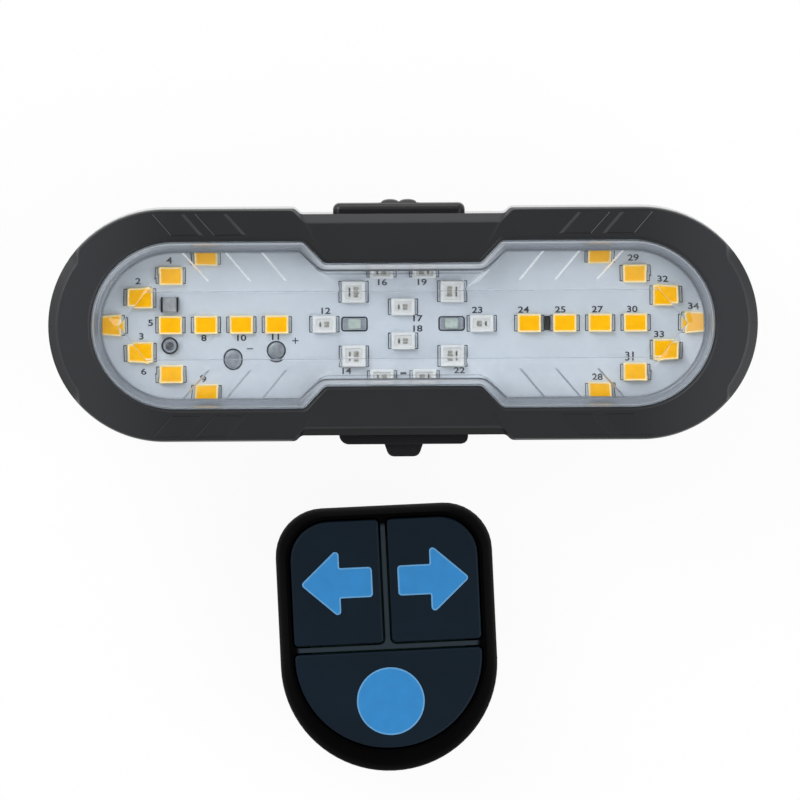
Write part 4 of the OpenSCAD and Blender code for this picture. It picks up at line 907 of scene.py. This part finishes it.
def lamp_body(shape, x, y, breadth, border, depth, rise):
    """A lamp's package with its two terminals, a well in its top and the fill of that well."""
    corners = box_corners(LAMP_L, breadth, LAMP_ROUND)
    deep = inset(corners, border + WELL_SLOPE)
    package = [
        (corners, LAMP_LIFT),
        (corners, LAMP_H - LAMP_EDGE),
        (inset(corners, LAMP_EDGE), LAMP_H),
        (inset(corners, border - WELL_LIP), LAMP_H),
        (inset(corners, border), LAMP_H - WELL_LIP),
    ]
    fill = [(inset(deep, reach), LAMP_H - depth + rise * share) for reach, share in FILL_RINGS]
    section = package + [(deep, LAMP_H - depth)] + fill
    rings = [[(px + x, py + y, BOARD_Z + z) for px, py in rounded(line)] for line, z in section]
    marks = [PACKAGE] * len(package) + [FILL] * len(fill)
    shape.loft(rings, mark=PACKAGE, marks=marks, high=FILL)
    foot_l = LAMP_L / 4 + FOOT_OUT
    foot_b = breadth - 2 * FOOT_IN
    for side in BOTH_SIDES:
        foot_x = x + side * (LAMP_L / 2 + FOOT_OUT - foot_l / 2)
        shape.block(foot_x, y, BOARD_Z, foot_l, foot_b, FOOT_H, edge=FOOT_EDGE, mark=FOOT)


def make_turn_lamps(side, node):
    shape = Shape()
    for x, y in ARROW_SPOTS:
        lamp_body(shape, side * x, y, *AMBER_LAMP)
    piece(node + "_fill", shape, [package_paint, amber_paint, tin_paint], [node])


def make_brake_lamps():
    shape = Shape()
    for x, y in BRAKE_SPOTS:
        lamp_body(shape, x, y, *BRAKE_LAMP)
        foot = BOARD_Z + LAMP_H - DIE_SINK
        side = -1 if x > 0 else 1
        for along, up, w, h in DIES:
            shape.block(x + side * along, y + up, foot, w, h, DIE_T, edge=DIE_EDGE, mark=DIE)
    paints = [cream_paint, well_paint, tin_paint, die_paint]
    piece("brake_lamp_packages", shape, paints, ["brake_lamps"])


make_turn_lamps(-1, "left_turn_lamps")
make_turn_lamps(1, "right_turn_lamps")
make_brake_lamps()


# Other components on the board's face

STATUS_X = 6.85
# Blocks of a status lamp: lift, width, height, thickness, rounding, edge and material
STATUS_BLOCKS = [(0.0, 3.2, 1.6, 0.25, 0.2, 0.04, 1), (0.2, 1.9, 1.45, 0.5, 0.3, 0.18, 0)]

SOLDER_SPOTS = [(-24.0, -4.7), (-17.9, -3.65)]
# Outer and inner radius and thickness of the solder's foot; lift, radius and height of its dome
SOLDER_FOOT = (1.15, 0.2, 0.05)
SOLDER_LIFT = 0.03
SOLDER_DOME = (1.05, 0.16)

SCREW_SPOT = (-32.9, -2.9)
OXIDE, BRIGHT, STEEL = range(3)
# Radius and height of the screw's profile, and the material above it
SCREW_PROFILE = [
    (0.75, -4.5, OXIDE),
    (0.75, 0.0, OXIDE),
    (1.2, 0.0, OXIDE),
    (1.2, 0.55, OXIDE),
    (1.1, 0.68, OXIDE),
    (0.98, 0.7, OXIDE),
    (0.94, 0.62, BRIGHT),
    (0.7, 0.62, BRIGHT),
    (0.64, 0.7, STEEL),
    (0.5, 0.72, STEEL),
    (0.36, 0.52, STEEL),
]

COIL_SPOT = (-32.9, 2.9)
COIL_LIFT = 0.05
COIL_H = 0.95
COIL_CORE = (1.9, 2.1)
COIL_ROUND = 0.2
COIL_EDGE = 0.12
# The coil's two sides and two terminals: distance from its middle, and size
COIL_SIDE_X = 1.12
COIL_SIDE = (0.26, 2.2)
COIL_SIDE_EDGE = 0.06
COIL_FOOT_X = 1.25
COIL_FOOT = (0.4, 1.6, 0.25)


def make_status_lamps():
    shape = Shape()
    for side in BOTH_SIDES:
        for lift, w, h, t, rounding, edge, mark in STATUS_BLOCKS:
            shape.block(side * STATUS_X, 0.0, BOARD_Z + lift, w, h, t, rounding, edge, mark)
    piece("charge_lamp_chips", shape, [status_paint, tin_paint], ["charge_lamps"])


def make_solder():
    shape = Shape()
    for x, y in SOLDER_SPOTS:
        shape.ring(x, y, BOARD_Z, *SOLDER_FOOT)
        shape.dome(x, y, BOARD_Z + SOLDER_LIFT, *SOLDER_DOME)
    piece("solder_pads", shape, [solder_paint], ["solder_joints"])


def make_screw():
    shape = Shape()
    profile = [(r, BOARD_Z + z) for r, z, _ in SCREW_PROFILE]
    marks = [mark for _, _, mark in SCREW_PROFILE]
    shape.turned(*SCREW_SPOT, profile, mark=STEEL, marks=marks)
    piece("board_screw_head", shape, [oxide_paint, tin_paint, steel_paint], ["board_screw"])


def make_coil():
    x, y = COIL_SPOT
    foot = BOARD_Z + COIL_LIFT
    shape = Shape()
    shape.block(x, y, foot, *COIL_CORE, COIL_H, rounding=COIL_ROUND, edge=COIL_EDGE)
    for side in BOTH_SIDES:
        shape.block(x + side * COIL_SIDE_X, y, foot, *COIL_SIDE, COIL_H, edge=COIL_SIDE_EDGE, mark=1)
        shape.block(x + side * COIL_FOOT_X, y, BOARD_Z, *COIL_FOOT, edge=FOOT_EDGE, mark=2)
    piece("inductor_block", shape, [ferrite_paint, coil_paint, tin_paint], ["chip_inductor"])


make_status_lamps()
make_solder()
make_screw()
make_coil()


# Printed marks on the board: brackets at the lamps, outlines, polarity signs and lamp numbers

INK_T = 0.03
INK_ROUND = 0.05
MARK_W = 0.11
# Brackets: distance from the lamp's end, what they are short of its breadth, and their arms
BRACKET_GAP = 0.42
BRACKET_SHORT = 0.3
ARM_L = 0.4
ARM_BACK = 0.18
ARM_IN = 0.2
# Width, height and rounding of a status lamp's outline, and the width of its line
STATUS_FRAME = (3.75, 2.1, 0.45)
STATUS_LINE = 0.2
# Outer and inner radius of the rings round the solder
SOLDER_RING = (1.36, 1.16)
SIGN_L = 0.9
SIGN_W = MARK_W * 1.4
# Place and size of the bars that make a plus, a minus and a dash
BARS = [
    (-15.2, -2.3, SIGN_L, SIGN_W),
    (-15.2, -2.3, SIGN_W, SIGN_L),
    (-21.6, -3.4, SIGN_L, SIGN_W),
    (0.0, -6.3, 0.85, 0.36),
]
NUMBER_H = 1.22
NUMBER_BOLD = 0.025
NUMBER_STRETCH = 1.3
# Digits and the middle of their place
NUMBERS = [
    ("12", -11.0, 1.85), ("17", 1.95, 0.72), ("18", 1.95, -0.72), ("23", 10.5, 1.85), ("24", 17.0, 1.85),
    ("25", 22.2, 1.85), ("27", 27.4, 1.85), ("30", 32.3, 1.85), ("34", 40.4, 2.0), ("29", 32.5, 8.75),
    ("32", 36.4, 5.7), ("31", 32.0, -4.6), ("33", 36.1, -1.7), ("8", -28.1, -1.9), ("10", -22.9, -1.9),
    ("11", -18.0, -1.8), ("4", -32.9, 8.7), ("2", -37.1, 5.8), ("5", -35.6, 0.3), ("3", -36.9, -1.6),
    ("6", -36.4, -6.2), ("9", -28.3, -7.2), ("28", 27.5, -7.2), ("16", -3.0, 5.1), ("19", 2.6, 5.1),
    ("14", -8.1, -5.95), ("22", 7.9, -5.95),
]


def add_number(shape, text, x, y):
    """Digits in the plain built-in font, as thin solid marks."""
    curve = bpy.data.curves.new("digits", "FONT")
    curve.body = text
    curve.size = NUMBER_H
    curve.extrude = INK_T / 2
    curve.offset = NUMBER_BOLD
    curve.align_x = "CENTER"
    curve.align_y = "CENTER"
    holder = bpy.data.objects.new("digits", curve)
    bpy.context.scene.collection.objects.link(holder)
    graph = bpy.context.evaluated_depsgraph_get()
    outline = bpy.data.meshes.new_from_object(holder.evaluated_get(graph))
    start = len(shape.points)
    for vertex in outline.vertices:
        spot = vertex.co
        shape.points.append((spot.x * NUMBER_STRETCH + x, spot.y + y, spot.z + BOARD_Z + INK_T / 2))
    for face in outline.polygons:
        shape.faces.append(tuple(start + v for v in face.vertices))
        shape.marks.append(0)
    bpy.data.objects.remove(holder)
    bpy.data.curves.remove(curve)
    bpy.data.meshes.remove(outline)


def make_print():
    shape = Shape()

    def bar(x, y, w, h):
        shape.block(x, y, BOARD_Z, w, h, INK_T, rounding=INK_ROUND)

    arrow_spots = [(side * x, y) for side in BOTH_SIDES for x, y in ARROW_SPOTS]
    for x, y in arrow_spots + BRAKE_SPOTS:
        for side in BOTH_SIDES:
            end = x + side * (LAMP_L / 2 + BRACKET_GAP)
            bar(end, y, MARK_W, LAMP_B - BRACKET_SHORT)
            for up in BOTH_SIDES:
                bar(end - side * ARM_BACK, y + up * (LAMP_B / 2 - ARM_IN), ARM_L, MARK_W)
    outer = box_corners(*STATUS_FRAME)
    inner = inset(outer, STATUS_LINE)
    section = [(outer, 0.0), (outer, INK_T), (inner, INK_T), (inner, 0.0)]
    for side in BOTH_SIDES:
        rings = [
            [(px + side * STATUS_X, py, BOARD_Z + z) for px, py in rounded(line)] for line, z in section
        ]
        shape.loft(rings, around=True)
    for x, y in SOLDER_SPOTS:
        shape.ring(x, y, BOARD_Z, *SOLDER_RING, INK_T)
    for place_and_size in BARS:
        bar(*place_and_size)
    for number in NUMBERS:
        add_number(shape, *number)
    piece("board_print", shape, [ink_paint])


make_print()


# Inlays of the remote's keys, with a paler rounded edge

KEY_TOP = 15.9
INLAY_T = 0.6
INLAY_PROUD = 0.1
# Section of an inlay's edge: distance in from its outline, and height against its top
INLAY_SECTION = [(0.0, -0.08), (0.05, -0.02), (0.12, 0.0), (0.17, 0.0), (0.22, -0.04)]
FIELD, RAISED = range(2)
ARROW_X = 6.9
ARROW_Y = 8.3
ARROW_L = 10.2
ARROW_HEAD_L = 5.6
ARROW_HEAD_B = 10.2
ARROW_SHAFT_B = 4.3
ARROW_SOFT = 0.5
DOT_Y = -8.7
DOT_D = 9.6
DOT_EASE = 0.001
DOT_STEPS = 18


def arrow_corners():
    """An arrow that points to +X, with its middle at the origin."""
    end = ARROW_L / 2
    neck = end - ARROW_HEAD_L
    head = ARROW_HEAD_B / 2
    shaft = ARROW_SHAFT_B / 2
    return [
        (-end, -shaft, ARROW_SOFT, SMALL_STEPS),
        (neck, -shaft, LEAST_ROUND, SMALL_STEPS),
        (neck, -head, ARROW_SOFT, SMALL_STEPS),
        (end, 0.0, ARROW_SOFT, SMALL_STEPS),
        (neck, head, ARROW_SOFT, SMALL_STEPS),
        (neck, shaft, LEAST_ROUND, SMALL_STEPS),
        (-end, shaft, ARROW_SOFT, SMALL_STEPS),
    ]


def inlay(name, corners, x, y, turn, body, node):
    """A symbol let into a key: a flat field inside an edge that stands a little proud."""
    top = KEY_TOP + INLAY_PROUD
    section = [(0.0, KEY_TOP - INLAY_T)] + [(across, top + up) for across, up in INLAY_SECTION]
    rings = []
    for across, z in section:
        points = rounded(inset(corners, across))
        rings.append([(x + turn * px, y + turn * py, z) for px, py in points])
    shape = Shape()
    shape.loft(rings, mark=FIELD, marks=[RAISED] * len(INLAY_SECTION))
    piece(name, shape, [blue_paint, blue_edge_paint], [node], body, on_remote)


dot_corners = box_corners(DOT_D, DOT_D, DOT_D / 2 - DOT_EASE, DOT_STEPS)
inlay("left_arrow_inlay", arrow_corners(), -ARROW_X, ARROW_Y, -1, "left_key", "left_arrow")
inlay("right_arrow_inlay", arrow_corners(), ARROW_X, ARROW_Y, 1, "right_key", "right_arrow")
inlay("mode_dot_inlay", dot_corners, 0.0, DOT_Y, 1, "mode_key", "mode_dot")


# Floor, light and camera

FLOOR_REACH = 6.0
FLOOR_DROP = 0.02
FLOOR_ROUGH = 0.9
FLOOR_PATCH = 40.0
FLOOR_SHADES = ("#f2f2f2", "#f6f6f6")
FLOOR_GLOW = 0.93
# The studio's light from the horizon, which is white, up to a dark spot straight above
SKY_LEVELS = [(0.0, 1.0), (0.5, 0.74), (0.85, 0.46), (0.955, 0.14), (1.0, 0.04)]
# A soft glow behind the zenith, which the lens reflects on its upper slope
GLOW_WAY = (0.0, 0.27, 0.963)
GLOW_CORE = math.radians(5.0)
GLOW_REACH = math.radians(12.0)
GLOW_LEVEL = 0.8
# Lights: name, place, size and power
SOFT_BOXES = [
    ("key_box", (-0.6, 0.6, 0.72), 0.8, 6.35),
    ("fill_box", (0.7, -0.25, 0.72), 0.8, 4.6),
    ("rear_box", (0.0, 0.9, 0.24), 0.35, 0.8),
]
SOFT_BOX_AIM = Vector((0.0, 0.0, 0.02))
# The camera looks down from far away, tilted a little so that the light's upper wall shows
CAMERA_REACH = 3.0
CAMERA_LEAN = 0.085
CAMERA_ROLL = math.radians(0.33)
CAMERA_CLIP = (0.1, 50.0)
SENSOR_W = 36.0
VIEW_W = 112.68
AIM = on_light((-0.49, -10.634, FACE_Z))


def floor_paint():
    """A pale floor that shows as white behind the object, and keeps the object's shadow."""
    paint = Paint("floor_white")
    paint.set("Roughness", FLOOR_ROUGH)
    paint.set("Specular IOR Level", 0.0)
    shades = [colour(code) for code in FLOOR_SHADES]
    paint.shade(paint.noise(FLOOR_PATCH, PATCH_DETAIL), *shades)
    rays = paint.nodes.new("ShaderNodeLightPath")
    seen = rays.outputs["Is Camera Ray"]
    for kind in ("Is Glossy Ray", "Is Transmission Ray"):
        most = paint.sum("ShaderNodeMath", "MAXIMUM")
        paint.join(seen, most.inputs[0])
        paint.join(rays.outputs[kind], most.inputs[1])
        seen = most.outputs["Value"]
    share = paint.sum("ShaderNodeMath", "MULTIPLY")
    share.inputs[1].default_value = FLOOR_GLOW
    paint.join(seen, share.inputs[0])
    glow = paint.nodes.new("ShaderNodeEmission")
    paint.give_way(glow.outputs["Emission"], share.outputs["Value"])
    return paint


def make_floor():
    r = FLOOR_REACH
    mesh = bpy.data.meshes.new("floor")
    mesh.from_pydata([(-r, -r, 0.0), (r, -r, 0.0), (r, r, 0.0), (-r, r, 0.0)], [], [(0, 1, 2, 3)])
    mesh.materials.append(floor_paint().material)
    floor = bpy.data.objects.new("floor", mesh)
    bpy.context.scene.collection.objects.link(floor)
    floor.location.z = -FLOOR_DROP * MM


def make_sky():
    world = bpy.data.worlds.new("studio")
    sky = Nodes(world)
    direction = sky.place.outputs["Generated"]
    height = sky.nodes.new("ShaderNodeSeparateXYZ")
    sky.join(direction, height.inputs["Vector"])
    shades = [(spot, (level, level, level, 1.0)) for spot, level in SKY_LEVELS]
    levels = sky.ramp(height.outputs["Z"], shades)
    toward = sky.sum("ShaderNodeVectorMath", "DOT_PRODUCT")
    toward.inputs[1].default_value = GLOW_WAY
    sky.join(direction, toward.inputs[0])
    reach = (math.cos(GLOW_REACH), math.cos(GLOW_CORE))
    glow = sky.spread(toward.outputs["Value"], (0.0, GLOW_LEVEL), reach, "SMOOTHSTEP")
    both = sky.sum("ShaderNodeMath", "ADD")
    sky.join(levels, both.inputs[0])
    sky.join(glow, both.inputs[1])
    sky.join(both.outputs["Value"], sky.nodes["Background"].inputs["Color"])
    bpy.context.scene.world = world


def soft_box(name, spot, size, power):
    """A square area light that faces the object."""
    lamp = bpy.data.lights.new(name, "AREA")
    lamp.shape = "SQUARE"
    lamp.size = size
    lamp.energy = power
    holder = bpy.data.objects.new(name, lamp)
    bpy.context.scene.collection.objects.link(holder)
    holder.location = spot
    holder.rotation_euler = (SOFT_BOX_AIM - Vector(spot)).to_track_quat("-Z", "Y").to_euler()


def make_camera():
    camera = bpy.data.objects.new("camera", bpy.data.cameras.new("camera"))
    bpy.context.scene.collection.objects.link(camera)
    spot = AIM + Vector((0.0, CAMERA_LEAN, CAMERA_REACH))
    back = (spot - AIM).normalized()
    up = (Vector((0.0, 1.0, 0.0)) - back * back.y).normalized()
    right = up.cross(back)
    camera.matrix_world = (
        Matrix.Translation(spot)
        @ Matrix((right, up, back)).transposed().to_4x4()
        @ Matrix.Rotation(-CAMERA_ROLL, 4, "Z")
    )
    camera.data.sensor_width = SENSOR_W
    camera.data.lens = SENSOR_W * (spot - AIM).length / (VIEW_W * MM)
    camera.data.clip_start, camera.data.clip_end = CAMERA_CLIP
    bpy.context.scene.camera = camera


make_floor()
make_sky()
for box in SOFT_BOXES:
    soft_box(*box)
make_camera()
bpy.context.scene.view_settings.view_transform = "Standard"
